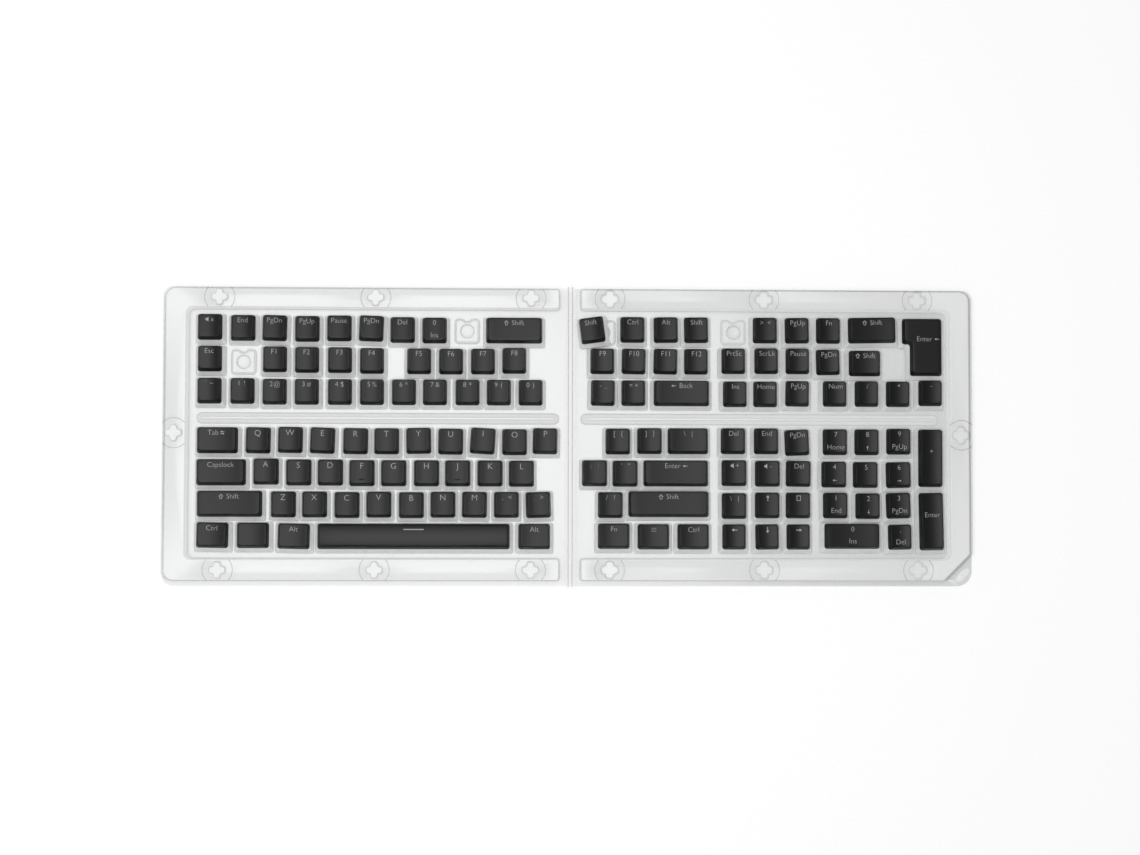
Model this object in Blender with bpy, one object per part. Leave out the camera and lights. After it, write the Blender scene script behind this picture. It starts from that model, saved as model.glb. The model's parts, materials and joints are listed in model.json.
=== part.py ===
"""Key cap set in its hinged blister tray.

Two clear thermoformed pages lie open like a book, joined by a living hinge along the Y axis. Each page has
a floor, a C-shaped hollow rim with snap fasteners, a middle rib and rows of low square posts. Two-shot key
caps stand on the posts: a dark shell over a milky skirt, hollow from below, with a cross-slotted stem. The
wide caps, the letters and the loose Shift are pieces of their own, and the plain caps are formed with the
page under them.

Metres, +Z up, +Y towards the back row, origin on the table under the middle of the open tray.
"""
import math

import bmesh
import bpy
from mathutils import Matrix, Vector

# Grid of the key caps
KEY_PITCH = 0.01905
CAP_GAP = 0.00095
CLOSE_GAP = 0.0005
RIB_GAP = 0.00985

# Key cap: insets are measured inwards from the skirt's rim, side, front and back
SEAM_CORNER = 0.0014
SEAM_INSETS = (0.0018, 0.0025, 0.00045)
TOP_INSETS = (0.00295, 0.0040, 0.00075)
DARK_SHELL = 0.0038
DISH_DEPTH = 0.0006
DISH_EDGE = 0.0024
WALL = 0.0013
ROOF = 0.0016
STEM_RADIUS = 0.00275
STEM_SIDES = 6
STEM_RISE = 0.0012
SLOT_SPAN = 0.0041
SLOT_WIDTH = 0.0013
SLOT_DEPTH = 0.0038
STABILISER_OFFSET = 0.0119
SPACE_STABILISER_OFFSET = 0.0500

# Heights of the caps by row, and the lean of their tops in degrees, positive where the back edge is higher
NUMBER_HEIGHT = 0.0089
UPPER_HEIGHT = 0.0086
HOME_HEIGHT = 0.0083
LOWER_HEIGHT = 0.0085
NUMBER_LEAN = 3.0
UPPER_LEAN = 1.0
HOME_LEAN = -1.5
LOWER_LEAN = -3.5
ROW_PROFILES = ("home", "number", "number", "upper", "home", "lower", "lower")

# Tray page
SHEET = 0.0005
RIM_TOP = 0.0105
DRAFT = 0.0004
STRIP_FRONT = 0.0126
STRIP_BACK = 0.0121
STRIP_SIDE = 0.0136
LIP_FRONT = 0.0036
LIP_BACK = 0.0010
LIP_SIDE = 0.0014
CORNER_RADIUS = 0.0070
RECESS_RADIUS = 0.0038
STRIP_END_RADIUS = 0.0015
STRIP_END = 0.0066
TAB_CUT = 0.0158
TAB_RADIUS = 0.0092
GRIP_SIDE = 0.0056
GRIP_FRONT = 0.0066
GRIP_LENGTH = 0.0116
GRIP_WIDTH = 0.0048
GRIP_HEIGHT = 0.0012
GRIP_DRAFT = 0.0008
MARGIN_FRONT = 0.0028
MARGIN_BACK = 0.0035
MARGIN_HINGE = 0.0046
MARGIN_WALL = 0.0043
MARGIN_PAD = 0.0014
NAV_GAP = 0.0046

# Middle rib, key posts and snap fasteners
RIB_HEIGHT = 0.0040
RIB_FOOT = 0.0064
RIB_LAND = 0.0026
RIB_MARGIN = 0.0052
RIB_CORNER = 1 / 3
POST_FOOT = 0.0150
POST_TOP = 0.0128
POST_HEIGHT = 0.0022
POST_BORE = 0.0039
BORE_SIDES = 12
NOTCH_WIDTH = 0.0066
NOTCH_DEPTH = 0.0017
SNAP_FIRST = 0.0236
SNAP_STEP = 0.0924
SNAP_RADIUS = 0.0044
SNAP_LOBE = 0.0008
SNAP_HEIGHT = 0.0020
SNAP_CLEARANCE = 0.0004
CUP_ACROSS = 0.0120
CUP_SIDES = 8

# Living hinge: each page ends in a ridge, and a half-round channel about the fold's axis joins the two
BEAD_RADIUS = 0.0010
RIDGE_CREST = 0.0013
RIDGE_FOOT = 0.0030

# Clearance between pieces that rest on each other, how deep shapes that become one are sunk together, and
# the distance under which points are one
SEAT_GAP = 0.0003
SINK = 0.00025
WELD = 0.000001

# The loose Shift cap, off its post and against the hinge ridge
LOOSE_TURN = math.radians(7.4)

# Rows from the back: a name, a colon and its width in key units, a dot for a bare post, or _ for a gap
LEFT_ROWS = (
    "mute end page_down page_up pause page_down_b delete insert . shift_2u:2",
    "escape . f1 f2 f3 f4 _:0.5 f5 f6 f7 f8",
    "grave 1 2 3 4 5 6 7 8 9 0",
    "tab:1.5 q w e r t y u i o p",
    "caps_lock:1.75 a s d f g h j k l",
    "shift_left:2.25 z x c v b n m comma period",
    "control_left:1.25 system:1.25 alt_left:1.25 space:6.25 alt_right:1.25",
)
MAIN_ROWS = (
    "shift_loose control_1u alt_1u shift_1u",
    "f9 f10 f11 f12",
    "minus equals backspace:2",
    "bracket_open bracket_close backslash:1.5",
    "semicolon quote enter:2.25",
    "slash shift_right:2.75",
    "function:1.25 menu:1.25 control_right:1.25",
)
NAV_ROWS = (
    ". angle_brackets page_up_b",
    "print_screen scroll_lock pause_b",
    "insert_b home page_up_c",
    "delete_b end_b page_down_c",
    "volume_up volume_down delete_c",
    "backslash_b arrow_up copy",
    "arrow_left arrow_down arrow_right",
)
PAD_ROWS = (
    "function_1u shift_1_75u:1.75 enter_iso:1.5",
    "page_down_d shift_1_25u:1.25 _:2",
    "num_lock pad_divide pad_multiply pad_minus",
    "pad_7 pad_8 pad_9 pad_plus",
    "pad_4 pad_5 pad_6 _",
    "pad_1 pad_2 pad_3 pad_enter",
    "pad_0:2 pad_decimal _",
)
BACK_ROWS = 3
LEFT_UNITS = 11.5
NAV_UNITS = 3
WIDE_PAD_UNITS = 4.25
TALL = ("enter_iso", "pad_plus", "pad_enter")
L_SHAPED = "enter_iso"
L_LEG_UNITS = 1.25
LOOSE = "shift_loose"
CONVEX = "space"

# Sizes worked out from those above
PROFILES = {"number": (NUMBER_HEIGHT, NUMBER_LEAN), "upper": (UPPER_HEIGHT, UPPER_LEAN),
            "home": (HOME_HEIGHT, HOME_LEAN), "lower": (LOWER_HEIGHT, LOWER_LEAN)}
ROWS = len(LEFT_ROWS)
CAP_BASE = KEY_PITCH - CAP_GAP
RECESS_WIDTH = MARGIN_HINGE + LEFT_UNITS * KEY_PITCH + MARGIN_WALL
RECESS_DEPTH = MARGIN_FRONT + ROWS * KEY_PITCH + RIB_GAP + MARGIN_BACK
HALF_WIDTH = RECESS_WIDTH + STRIP_SIDE + LIP_SIDE
DEPTH = LIP_FRONT + STRIP_FRONT + RECESS_DEPTH + STRIP_BACK + LIP_BACK
RECESS_FRONT = -DEPTH / 2 + LIP_FRONT + STRIP_FRONT
RECESS_BACK = RECESS_FRONT + RECESS_DEPTH
AXIS_Z = RIM_TOP + SEAT_GAP / 2
SEAT = SHEET + SEAT_GAP
POST_LEVEL = SHEET + POST_HEIGHT

# Colours of the mouldings: name, linear colour, roughness, transmission
SHEET_FINISH = ("clear PET sheet", (0.90, 0.92, 0.93, 1.0), 0.10, 0.9)
DARK_FINISH = ("black PBT shell", (0.022, 0.022, 0.024, 1.0), 0.55, 0.0)
MILKY_FINISH = ("milky PBT skirt", (0.62, 0.63, 0.64, 1.0), 0.45, 0.3)
SHEET_SLOT, DARK_SLOT, MILKY_SLOT = range(3)


def row_y(row):
    """Height up the page of a row's centre line, with row 0 at the back and the rib after the back rows."""
    from_front = (ROWS - row - 0.5) * KEY_PITCH
    return RECESS_FRONT + MARGIN_FRONT + from_front + (RIB_GAP if row < BACK_ROWS else 0.0)


def parse_row(text):
    """Turns a row's words into pairs of name and width in key units."""
    for word in text.split():
        name, _, units = word.partition(":")
        yield name, float(units or 1)


def place_row(text, edge, gap, from_right):
    """Centres of a row's caps, laid side by side from one edge with a gap between their skirts."""
    cells = [(name, units, units * KEY_PITCH - CAP_GAP) for name, units in parse_row(text)]
    if from_right:
        edge -= sum(width + gap for _, _, width in cells) - gap
    for name, units, width in cells:
        if name != "_":
            yield name, units, edge + width / 2
        edge += width + gap


def key_places():
    """Every cap or bare post: page side, row, name, width in units and centre."""
    pad_right = RECESS_WIDTH - MARGIN_PAD - CAP_GAP / 2
    wide_pad_left = pad_right - (WIDE_PAD_UNITS * KEY_PITCH - CAP_GAP)
    nav_right = wide_pad_left - CLOSE_GAP
    main_right = nav_right - (NAV_UNITS * KEY_PITCH - CAP_GAP) - NAV_GAP
    left_edge = -RECESS_WIDTH + MARGIN_WALL + CAP_GAP / 2
    blocks = (
        (-1, LEFT_ROWS, left_edge, CAP_GAP, False),
        (1, MAIN_ROWS, main_right, CLOSE_GAP, True),
        (1, NAV_ROWS, nav_right, CAP_GAP, True),
        (1, PAD_ROWS, pad_right, CAP_GAP, True),
    )
    for side, rows, edge, gap, from_right in blocks:
        for row, text in enumerate(rows):
            for name, units, x in place_row(text, edge, gap, from_right):
                y = row_y(row) - (KEY_PITCH / 2 if name in TALL else 0.0)
                yield side, row, name, units, x, y


def is_separate(name, units):
    """True for caps that are pieces of their own: letters, the loose one, and all larger than one unit."""
    letter = len(name) == 1 and name.isalpha()
    return letter or name == LOOSE or name in TALL or units > 1


def stem_places(name, units):
    """Stems under a cap, measured from its centre: one, or three on caps of two units and more."""
    if name == L_SHAPED:
        middle = (units - L_LEG_UNITS) / 2 * KEY_PITCH
        return [(middle, dy) for dy in (-STABILISER_OFFSET, 0.0, STABILISER_OFFSET)]
    if name in TALL:
        return [(0.0, dy) for dy in (-STABILISER_OFFSET, 0.0, STABILISER_OFFSET)]
    if units < 2:
        return [(0.0, 0.0)]
    offset = SPACE_STABILISER_OFFSET if name == CONVEX else STABILISER_OFFSET
    return [(dx, 0.0) for dx in (-offset, 0.0, offset)]


def chamfered(x0, x1, y0, y1, cut):
    """Rectangle with cut corners, counter-clockwise from the front end of its right side."""
    return [(x1, y0 + cut), (x1, y1 - cut), (x1 - cut, y1), (x0 + cut, y1),
            (x0, y1 - cut), (x0, y0 + cut), (x0 + cut, y0), (x1 - cut, y0)]


def rectangle(x0, x1, y0, y1):
    """Plain rectangle, counter-clockwise."""
    return [(x0, y0), (x1, y0), (x1, y1), (x0, y1)]


def arc(x, y, radius, start, turn, steps):
    """Points of an arc about (x, y), from start through turn, in degrees."""
    angles = [math.radians(start + turn * i / steps) for i in range(steps + 1)]
    return [(x + radius * math.cos(a), y + radius * math.sin(a)) for a in angles]


def ring(x, y, radius, sides):
    """Regular polygon about (x, y)."""
    return arc(x, y, radius, 180.0 / sides, 360.0 * (sides - 1) / sides, sides - 1)


def lift(outline, z):
    """Outline in the plane as points at one height."""
    return [(x, y, z) for x, y in outline]


def add_loft(bm, loops, slots=(0,), top=None):
    """Adds a closed body through loops of equal length, with a material slot for each band and the top.

    Neighbours that share a place in the first loop become one point there, as at a sharp corner.
    """
    rings = [[bm.verts.new(p) for p in loop] for loop in loops]
    count = len(rings[0])
    faces = [bm.faces.new(reversed(rings[0]))]
    faces[0].material_index = slots[0]
    for band, (low, high) in enumerate(zip(rings, rings[1:])):
        for i in range(count):
            j = (i + 1) % count
            face = bm.faces.new((low[i], low[j], high[j], high[i]))
            face.material_index = slots[min(band, len(slots) - 1)]
            faces.append(face)
    for order in top or [range(count)]:
        face = bm.faces.new([rings[-1][i] for i in order])
        face.material_index = slots[-1]
        faces.append(face)
    bmesh.ops.recalc_face_normals(bm, faces=faces)
    bmesh.ops.remove_doubles(bm, verts=rings[0], dist=WELD)


def mesh_from(bm, name):
    """Turns a finished bmesh into a mesh."""
    mesh = bpy.data.meshes.new(name)
    bm.to_mesh(mesh)
    bm.free()
    return mesh


def make_material(name, colour, roughness, transmission):
    """Principled material of one moulding."""
    material = bpy.data.materials.new(name)
    material.use_nodes = True
    shader = material.node_tree.nodes["Principled BSDF"]
    shader.inputs["Base Color"].default_value = colour
    shader.inputs["Roughness"].default_value = roughness
    shader.inputs["Metallic"].default_value = 0.0
    shader.inputs["Transmission Weight"].default_value = transmission
    return material


def make_object(name, mesh, collection, materials):
    """Object of a mesh in a collection, with the material slots in their fixed order."""
    if not mesh.materials:
        for material in materials:
            mesh.materials.append(material)
    thing = bpy.data.objects.new(name, mesh)
    collection.objects.link(thing)
    return thing


def make_tool(name, bm, collection, materials):
    """Helper body for a Boolean, shown as wire and never rendered."""
    tool = make_object(name, mesh_from(bm, name), collection, materials)
    tool.hide_render = True
    tool.display_type = "WIRE"
    return tool


def combine(thing, tool, operation):
    """Boolean of a piece with a tool, by the exact solver."""
    step = thing.modifiers.new(f"{operation.lower()} {tool.name}", "BOOLEAN")
    step.operation = operation
    step.object = tool
    step.solver = "EXACT"


def insets_at(height, z):
    """Side, front and back insets of a cap's outer wall at a height, straight from rim to seam to top."""
    seam = height - DARK_SHELL
    if z <= seam:
        return [inset * z / seam for inset in SEAM_INSETS]
    share = (z - seam) / DARK_SHELL
    return [low + (high - low) * share for low, high in zip(SEAM_INSETS, TOP_INSETS)]


def cap_bounds(width, depth, insets):
    """Left, right, front and back edges of a cap drawn in by its insets."""
    side, front, back = insets
    return -width / 2 + side, width / 2 - side, -depth / 2 + front, depth / 2 - back


def l_outline(bounds, insets, cut):
    """Outline of the L-shaped Enter: a wide back row with a narrower leg in front of its right side."""
    x0, x1, y0, y1 = bounds
    step_x = x1 + insets[0] - (L_LEG_UNITS * KEY_PITCH - CAP_GAP) + insets[0]
    step_y = y1 + insets[2] - CAP_BASE + insets[1]
    return [(x1, y0 + cut), (x1, y1 - cut), (x1 - cut, y1), (x0 + cut, y1), (x0, y1 - cut),
            (x0, step_y + cut), (x0 + cut, step_y), (step_x, step_y), (step_x, y0 + cut), (step_x + cut, y0),
            (x1 - cut, y0)]


def cap_size(name, units):
    """Width and depth of a cap at its rim."""
    depth = 2 * KEY_PITCH - CAP_GAP if name in TALL else CAP_BASE
    return units * KEY_PITCH - CAP_GAP, depth


def cap_section(name, units, insets, cut):
    """Outline of a cap at the given insets."""
    bounds = cap_bounds(*cap_size(name, units), insets)
    return l_outline(bounds, insets, cut) if name == L_SHAPED else chamfered(*bounds, cut)


def add_cap(bm, name, units, profile, x, y, base, seat):
    """Adds a cap's outer body: rim, seam and dished top.

    The skirt starts at base, and the height counts from seat.
    """
    height, lean = PROFILES[profile]
    slope = math.tan(math.radians(lean))
    top = []
    for i, (px, py) in enumerate(cap_section(name, units, TOP_INSETS, DISH_EDGE)):
        side_point = i % 4 in (0, 1)
        drop = DISH_DEPTH if name == L_SHAPED or not side_point else 0.0
        rise = 0.0 if name == L_SHAPED else slope * py
        top.append((px, py, seat + height - drop + rise))
    loops = [lift(cap_section(name, units, (0.0, 0.0, 0.0), 0.0), base),
             lift(cap_section(name, units, SEAM_INSETS, SEAM_CORNER), seat + height - DARK_SHELL), top]
    if name == L_SHAPED:
        faces = None
    elif name == CONVEX:
        faces = [(0, 1, 4, 5), (1, 2, 3, 4), (5, 6, 7, 0)]
    else:
        faces = [(7, 2, 3, 6), (7, 0, 1, 2), (3, 4, 5, 6)]
    placed = [[(px + x, py + y, pz) for px, py, pz in loop] for loop in loops]
    add_loft(bm, placed, (MILKY_SLOT, DARK_SLOT), faces)


def cavity_outline(name, units, insets):
    """Outline of a cap's hollow, drawn in by the wall from the outer insets."""
    walled = [inset + WALL for inset in insets]
    bounds = cap_bounds(*cap_size(name, units), walled)
    if name != L_SHAPED:
        return rectangle(*bounds)
    x0, x1, y0, y1 = bounds
    _, _, _, _, _, _, _, (step_x, step_y), *_ = l_outline(bounds, walled, 0.0)
    return [(x0, step_y), (step_x, step_y), (step_x, y0), (x1, y0), (x1, y1), (x0, y1)]


def cross_outline(x, y):
    """Outline of the cross slot in a stem."""
    long, short = SLOT_SPAN / 2, SLOT_WIDTH / 2
    corner = [(long, short), (short, short), (short, long)]
    points = []
    for quarter in range(4):
        c, s = (1, 0, -1, 0)[quarter], (0, 1, 0, -1)[quarter]
        points += [(x + px * c - py * s, y + px * s + py * c) for px, py in corner]
    return points


def cap_mesh(name, units, profile, tools, materials):
    """Hollow cap with its stems, worked out at the origin with its rim at height 0."""
    height, lean = PROFILES[profile]
    width, depth = cap_size(name, units)
    ceiling = height - DISH_DEPTH - ROOF - abs(math.tan(math.radians(lean))) * CAP_BASE / 4
    outer = bmesh.new()
    add_cap(outer, name, units, profile, 0.0, 0.0, 0.0, 0.0)
    cap = make_object("cap", mesh_from(outer, "cap"), tools, materials)
    hollow, stems, slots = bmesh.new(), bmesh.new(), bmesh.new()
    below = -WALL
    add_loft(hollow, [lift(cavity_outline(name, units, (0.0, 0.0, 0.0)), below),
                      lift(cavity_outline(name, units, (0.0, 0.0, 0.0)), 0.0),
                      lift(cavity_outline(name, units, insets_at(height, ceiling)), ceiling)],
             (MILKY_SLOT,))
    for x, y in stem_places(name, units):
        add_loft(stems, [lift(ring(x, y, STEM_RADIUS, STEM_SIDES), STEM_RISE),
                         lift(ring(x, y, STEM_RADIUS, STEM_SIDES), ceiling + SINK)], (MILKY_SLOT,))
        add_loft(slots, [lift(cross_outline(x, y), below),
                         lift(cross_outline(x, y), STEM_RISE + SLOT_DEPTH)], (MILKY_SLOT,))
    helpers = [make_tool(f"cap {label}", bm, tools, materials)
               for label, bm in (("hollow", hollow), ("stems", stems), ("slots", slots))]
    for helper, operation in zip(helpers, ("DIFFERENCE", "UNION", "DIFFERENCE")):
        combine(cap, helper, operation)
    evaluated = cap.evaluated_get(bpy.context.evaluated_depsgraph_get())
    mesh = bpy.data.meshes.new_from_object(evaluated)
    mesh.name = f"cap {width / KEY_PITCH:.2f} by {depth / KEY_PITCH:.2f} {profile}"
    for thing in (cap, *helpers):
        bpy.data.objects.remove(thing)
    return mesh


def post_bounds(name, units, grow):
    """Edges of the post under a cap, about the cap's centre. A wide cap has a wide post."""
    extra_x = (L_LEG_UNITS if name == L_SHAPED else units) - 1
    extra_y = 1 if name in TALL else 0
    middle = (units - L_LEG_UNITS) / 2 * KEY_PITCH if name == L_SHAPED else 0.0
    half_x, half_y = grow + extra_x * KEY_PITCH / 2, grow + extra_y * KEY_PITCH / 2
    return middle - half_x, middle + half_x, -half_y, half_y


def post_outline(name, units, x, y, grow, notched):
    """Outline of a post, with the finger notch in the middle of its back edge on posts that show."""
    x0, x1, y0, y1 = post_bounds(name, units, grow)
    points = rectangle(x0, x1, y0, y1)
    if notched:
        half = NOTCH_WIDTH / 2
        points[3:3] = [(half, y1), (0.0, y1 - NOTCH_DEPTH), (-half, y1)]
    return [(px + x, py + y) for px, py in points]


def add_post(bodies, bores, name, units, x, y):
    """Adds a low square post with a recess for the stems, round and notched on posts that show."""
    shows = name in (".", LOOSE)
    add_loft(bodies, [lift(post_outline(name, units, x, y, POST_FOOT / 2, shows), SHEET - SINK),
                      lift(post_outline(name, units, x, y, POST_TOP / 2, shows), POST_LEVEL)])
    if shows:
        recess = ring(x, y, POST_BORE, BORE_SIDES)
    else:
        stems = stem_places(name, units)
        xs, ys = [x + dx for dx, _ in stems], [y + dy for _, dy in stems]
        recess = rectangle(min(xs) - POST_BORE, max(xs) + POST_BORE,
                           min(ys) - POST_BORE, max(ys) + POST_BORE)
    add_loft(bores, [lift(recess, SHEET + SINK / 2), lift(recess, POST_LEVEL + POST_HEIGHT)])


def rim_outline(side, grow):
    """C-shaped plan of a page's rim, open towards the hinge, with all its walls moved outwards by grow.

    The right page's front outer corner is cut off, and leaves the flat thumb tab beside it.
    """
    outer_x, inner_x, end = RECESS_WIDTH + STRIP_SIDE + grow, RECESS_WIDTH - grow, STRIP_END - grow
    front, back = RECESS_FRONT - STRIP_FRONT - grow, RECESS_BACK + STRIP_BACK + grow
    inner_front, inner_back = RECESS_FRONT + grow, RECESS_BACK - grow
    outer_r, inner_r, tip = CORNER_RADIUS - LIP_SIDE + grow, RECESS_RADIUS - grow, STRIP_END_RADIUS
    points = [(end, front + tip), (end + tip, front)]
    if side > 0:
        points += [(outer_x - TAB_CUT, front), (outer_x, front + TAB_CUT)]
    else:
        points += arc(outer_x - outer_r, front + outer_r, outer_r, -90.0, 90.0, 4)
    points += arc(outer_x - outer_r, back - outer_r, outer_r, 0.0, 90.0, 4)
    points += [(end + tip, back), (end, back - tip), (end, inner_back + tip), (end + tip, inner_back)]
    points += arc(inner_x - inner_r, inner_back - inner_r, inner_r, 90.0, -90.0, 3)
    points += arc(inner_x - inner_r, inner_front + inner_r, inner_r, 0.0, -90.0, 3)
    points += [(end + tip, inner_front), (end, inner_front - tip)]
    return [(side * x, y) for x, y in points]


def floor_outline(side):
    """Plan of a page's flat sheet, from the hinge ridge's foot to its round outer corners."""
    near, far, half = RIDGE_FOOT + SHEET / 2, HALF_WIDTH, DEPTH / 2
    front_r, back_r = TAB_RADIUS if side > 0 else CORNER_RADIUS, CORNER_RADIUS
    points = [(near, -half)] + arc(far - front_r, -half + front_r, front_r, -90.0, 90.0, 4)
    points += arc(far - back_r, half - back_r, back_r, 0.0, 90.0, 4) + [(near, half)]
    return [(side * x, y) for x, y in points]


def grip_outline(grow):
    """Plan of the thumb grip: an oval on the right page's tab, long along the rim's cut corner."""
    x, y = HALF_WIDTH - GRIP_SIDE, -DEPTH / 2 + GRIP_FRONT
    oval = [((GRIP_LENGTH / 2 + grow) * c, (GRIP_WIDTH / 2 + grow) * s) for c, s in ring(0.0, 0.0, 1.0, 12)]
    turned = [((along - across) / math.sqrt(2), (along + across) / math.sqrt(2)) for along, across in oval]
    return [(x + dx, y + dy) for dx, dy in turned]


def rib_outline(side, foot):
    """Plan of the middle rib, with cut corners, for a given width."""
    middle = (row_y(BACK_ROWS - 1) + row_y(BACK_ROWS)) / 2
    x0 = STRIP_END + (RIB_FOOT - foot) / 2
    x1 = RECESS_WIDTH - RIB_MARGIN - (RIB_FOOT - foot) / 2
    points = chamfered(x0, x1, middle - foot / 2, middle + foot / 2, foot * RIB_CORNER)
    return [(side * x, y) for x, y in points]


def ridge_outline(side, near):
    """Plan of a page's half of the hinge ridge, one sheet thick, at a distance from the fold."""
    x0, x1 = sorted((side * near, side * (near + SHEET)))
    return rectangle(x0, x1, -DEPTH / 2, DEPTH / 2)


def snap_places(side):
    """Centres of a page's seven snap fasteners: three on each long strip and one on the side strip."""
    front, back = RECESS_FRONT - STRIP_FRONT / 2, RECESS_BACK + STRIP_BACK / 2
    places = [(SNAP_FIRST + SNAP_STEP * i, y) for i in range(3) for y in (front, back)]
    places.append((RECESS_WIDTH + STRIP_SIDE / 2, (front + back) / 2))
    return [(side * x, y) for x, y in places]


def snap_outline(x, y, grow):
    """Four-lobed flower: its radius swings four times round the circle."""
    angles = [math.radians(22.5 * i) for i in range(16)]
    radii = [SNAP_RADIUS + SNAP_LOBE * math.cos(4 * a) + grow for a in angles]
    return [(x + r * math.cos(a), y + r * math.sin(a)) for a, r in zip(angles, radii)]


def page_tools(side, places):
    """Bodies that a page is put together from, in order, with what each does to it."""
    shells, hollows, joined, bores, snaps, sockets = (bmesh.new() for _ in range(6))
    below = -SHEET
    add_loft(shells, [lift(rim_outline(side, DRAFT), SHEET - SINK), lift(rim_outline(side, 0.0), RIM_TOP)])
    add_loft(shells, [lift(rib_outline(side, RIB_FOOT), SHEET - SINK),
                      lift(rib_outline(side, RIB_LAND), SHEET + RIB_HEIGHT)])
    add_loft(hollows, [lift(rim_outline(side, DRAFT - SHEET), below),
                       lift(rim_outline(side, -SHEET), RIM_TOP - SHEET)])
    add_loft(hollows, [lift(rib_outline(side, RIB_FOOT - 2 * SHEET), below),
                       lift(rib_outline(side, RIB_LAND - 2 * SHEET), RIB_HEIGHT)])
    if side > 0:
        add_loft(shells, [lift(grip_outline(0.0), SHEET - SINK),
                          lift(grip_outline(-GRIP_DRAFT), SHEET + GRIP_HEIGHT)])
        add_loft(hollows, [lift(grip_outline(-SHEET), below),
                           lift(grip_outline(-GRIP_DRAFT - SHEET), GRIP_HEIGHT)])
    add_loft(joined, [lift(ridge_outline(side, RIDGE_FOOT), 0.0),
                      lift(ridge_outline(side, RIDGE_CREST), RIM_TOP)])
    for page, row, name, units, x, y in places:
        if page != side:
            continue
        if name == "." or is_separate(name, units):
            add_post(joined, bores, name, units, x, y)
        else:
            add_cap(joined, name, units, ROW_PROFILES[row], x, y, SHEET - SINK, SEAT)
    for x, y in snap_places(side):
        if side < 0:
            add_loft(snaps, [lift(snap_outline(x, y, 0.0), RIM_TOP - SINK),
                             lift(snap_outline(x, y, -SNAP_LOBE / 2), RIM_TOP + SNAP_HEIGHT)])
            continue
        bottom = RIM_TOP - SNAP_HEIGHT - SNAP_CLEARANCE
        cup = ring(x, y, CUP_ACROSS / 2 / math.cos(math.pi / CUP_SIDES), CUP_SIDES)
        add_loft(snaps, [lift(cup, bottom - SHEET), lift(cup, RIM_TOP - SINK)])
        add_loft(sockets, [lift(snap_outline(x, y, SNAP_CLEARANCE), bottom),
                           lift(snap_outline(x, y, SNAP_CLEARANCE), RIM_TOP + SNAP_HEIGHT)])
    steps = [("rim and rib", shells, "UNION"), ("hollow below", hollows, "DIFFERENCE"),
             ("ridge, posts and caps", joined, "UNION"), ("stem recesses", bores, "DIFFERENCE"),
             ("snaps", snaps, "UNION")]
    return steps + ([("sockets", sockets, "DIFFERENCE")] if side > 0 else [])


def make_page(name, side, places, parts, tools, materials):
    """One page of the tray, with live Booleans that form its rim, rib, ridge, posts, caps and snaps."""
    sheet = bmesh.new()
    add_loft(sheet, [lift(floor_outline(side), 0.0), lift(floor_outline(side), SHEET)])
    page = make_object(name, mesh_from(sheet, name), parts, materials)
    for label, bm, operation in page_tools(side, places):
        combine(page, make_tool(f"{name} {label}", bm, tools, materials), operation)
    return page


def make_bead(parts, materials):
    """The living hinge's half-round channel, open above, along the fold's axis."""
    inner = BEAD_RADIUS - SHEET
    profile = arc(0.0, AXIS_Z, BEAD_RADIUS, 180.0, 180.0, 8) + arc(0.0, AXIS_Z, inner, 0.0, -180.0, 8)
    bm = bmesh.new()
    add_loft(bm, [[(x, y, z) for x, z in profile] for y in (-DEPTH / 2, DEPTH / 2)])
    return make_object("living_hinge", mesh_from(bm, "living_hinge"), parts, materials)


def loose_pose(x, y):
    """Place of the loose cap: turned, one corner at the ridge on the floor, the far side on its post."""
    half = CAP_BASE / 2
    reach = half * (math.cos(LOOSE_TURN) + math.sin(LOOSE_TURN))
    across = 2 * half - WALL
    tilt = math.atan2(POST_HEIGHT + SEAT_GAP, across)
    turned = Matrix.Rotation(-tilt, 4, "Y") @ Matrix.Rotation(LOOSE_TURN, 4, "Z")
    corners = [turned @ Vector((sx * half, sy * half, 0.0)) for sx in (-1, 1) for sy in (-1, 1)]
    rise = SEAT - min(corner.z for corner in corners)
    against_ridge = RIDGE_FOOT + SHEET + SEAT_GAP + reach
    return Matrix.Translation((against_ridge, y, rise)) @ turned


def clear_scene():
    """Removes what a new scene starts with."""
    for thing in list(bpy.data.objects):
        bpy.data.objects.remove(thing)


def new_collection(name):
    """Collection under the scene's own."""
    collection = bpy.data.collections.new(name)
    bpy.context.scene.collection.children.link(collection)
    return collection


def main():
    """Builds the tray's two pages, the hinge channel and the separate caps."""
    clear_scene()
    parts, tools = new_collection("key cap set in tray"), new_collection("cutters")
    materials = [make_material(*finish) for finish in (SHEET_FINISH, DARK_FINISH, MILKY_FINISH)]
    places = list(key_places())
    fold = bpy.data.objects.new("fold axis", None)
    fold.location = (0.0, 0.0, AXIS_Z)
    parts.objects.link(fold)
    left = make_page("left_page", -1, places, parts, tools, materials)
    right = make_page("right_page", 1, places, parts, tools, materials)
    bead = make_bead(parts, materials)
    for piece in (left, right, bead):
        piece.parent = fold
        piece.location = -fold.location
    shapes = {}
    for _, row, name, units, x, y in places:
        if name == "." or not is_separate(name, units):
            continue
        key = (units, name in TALL, name == L_SHAPED, name == CONVEX, ROW_PROFILES[row])
        if key not in shapes:
            shapes[key] = cap_mesh(name, units, ROW_PROFILES[row], tools, materials)
        cap = make_object(f"cap_{name}", shapes[key], parts, materials)
        cap.parent = fold
        place = loose_pose(x, y) if name == LOOSE else Matrix.Translation((x, y, SEAT))
        cap.matrix_basis = Matrix.Translation(-fold.location) @ place


main()
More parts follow.
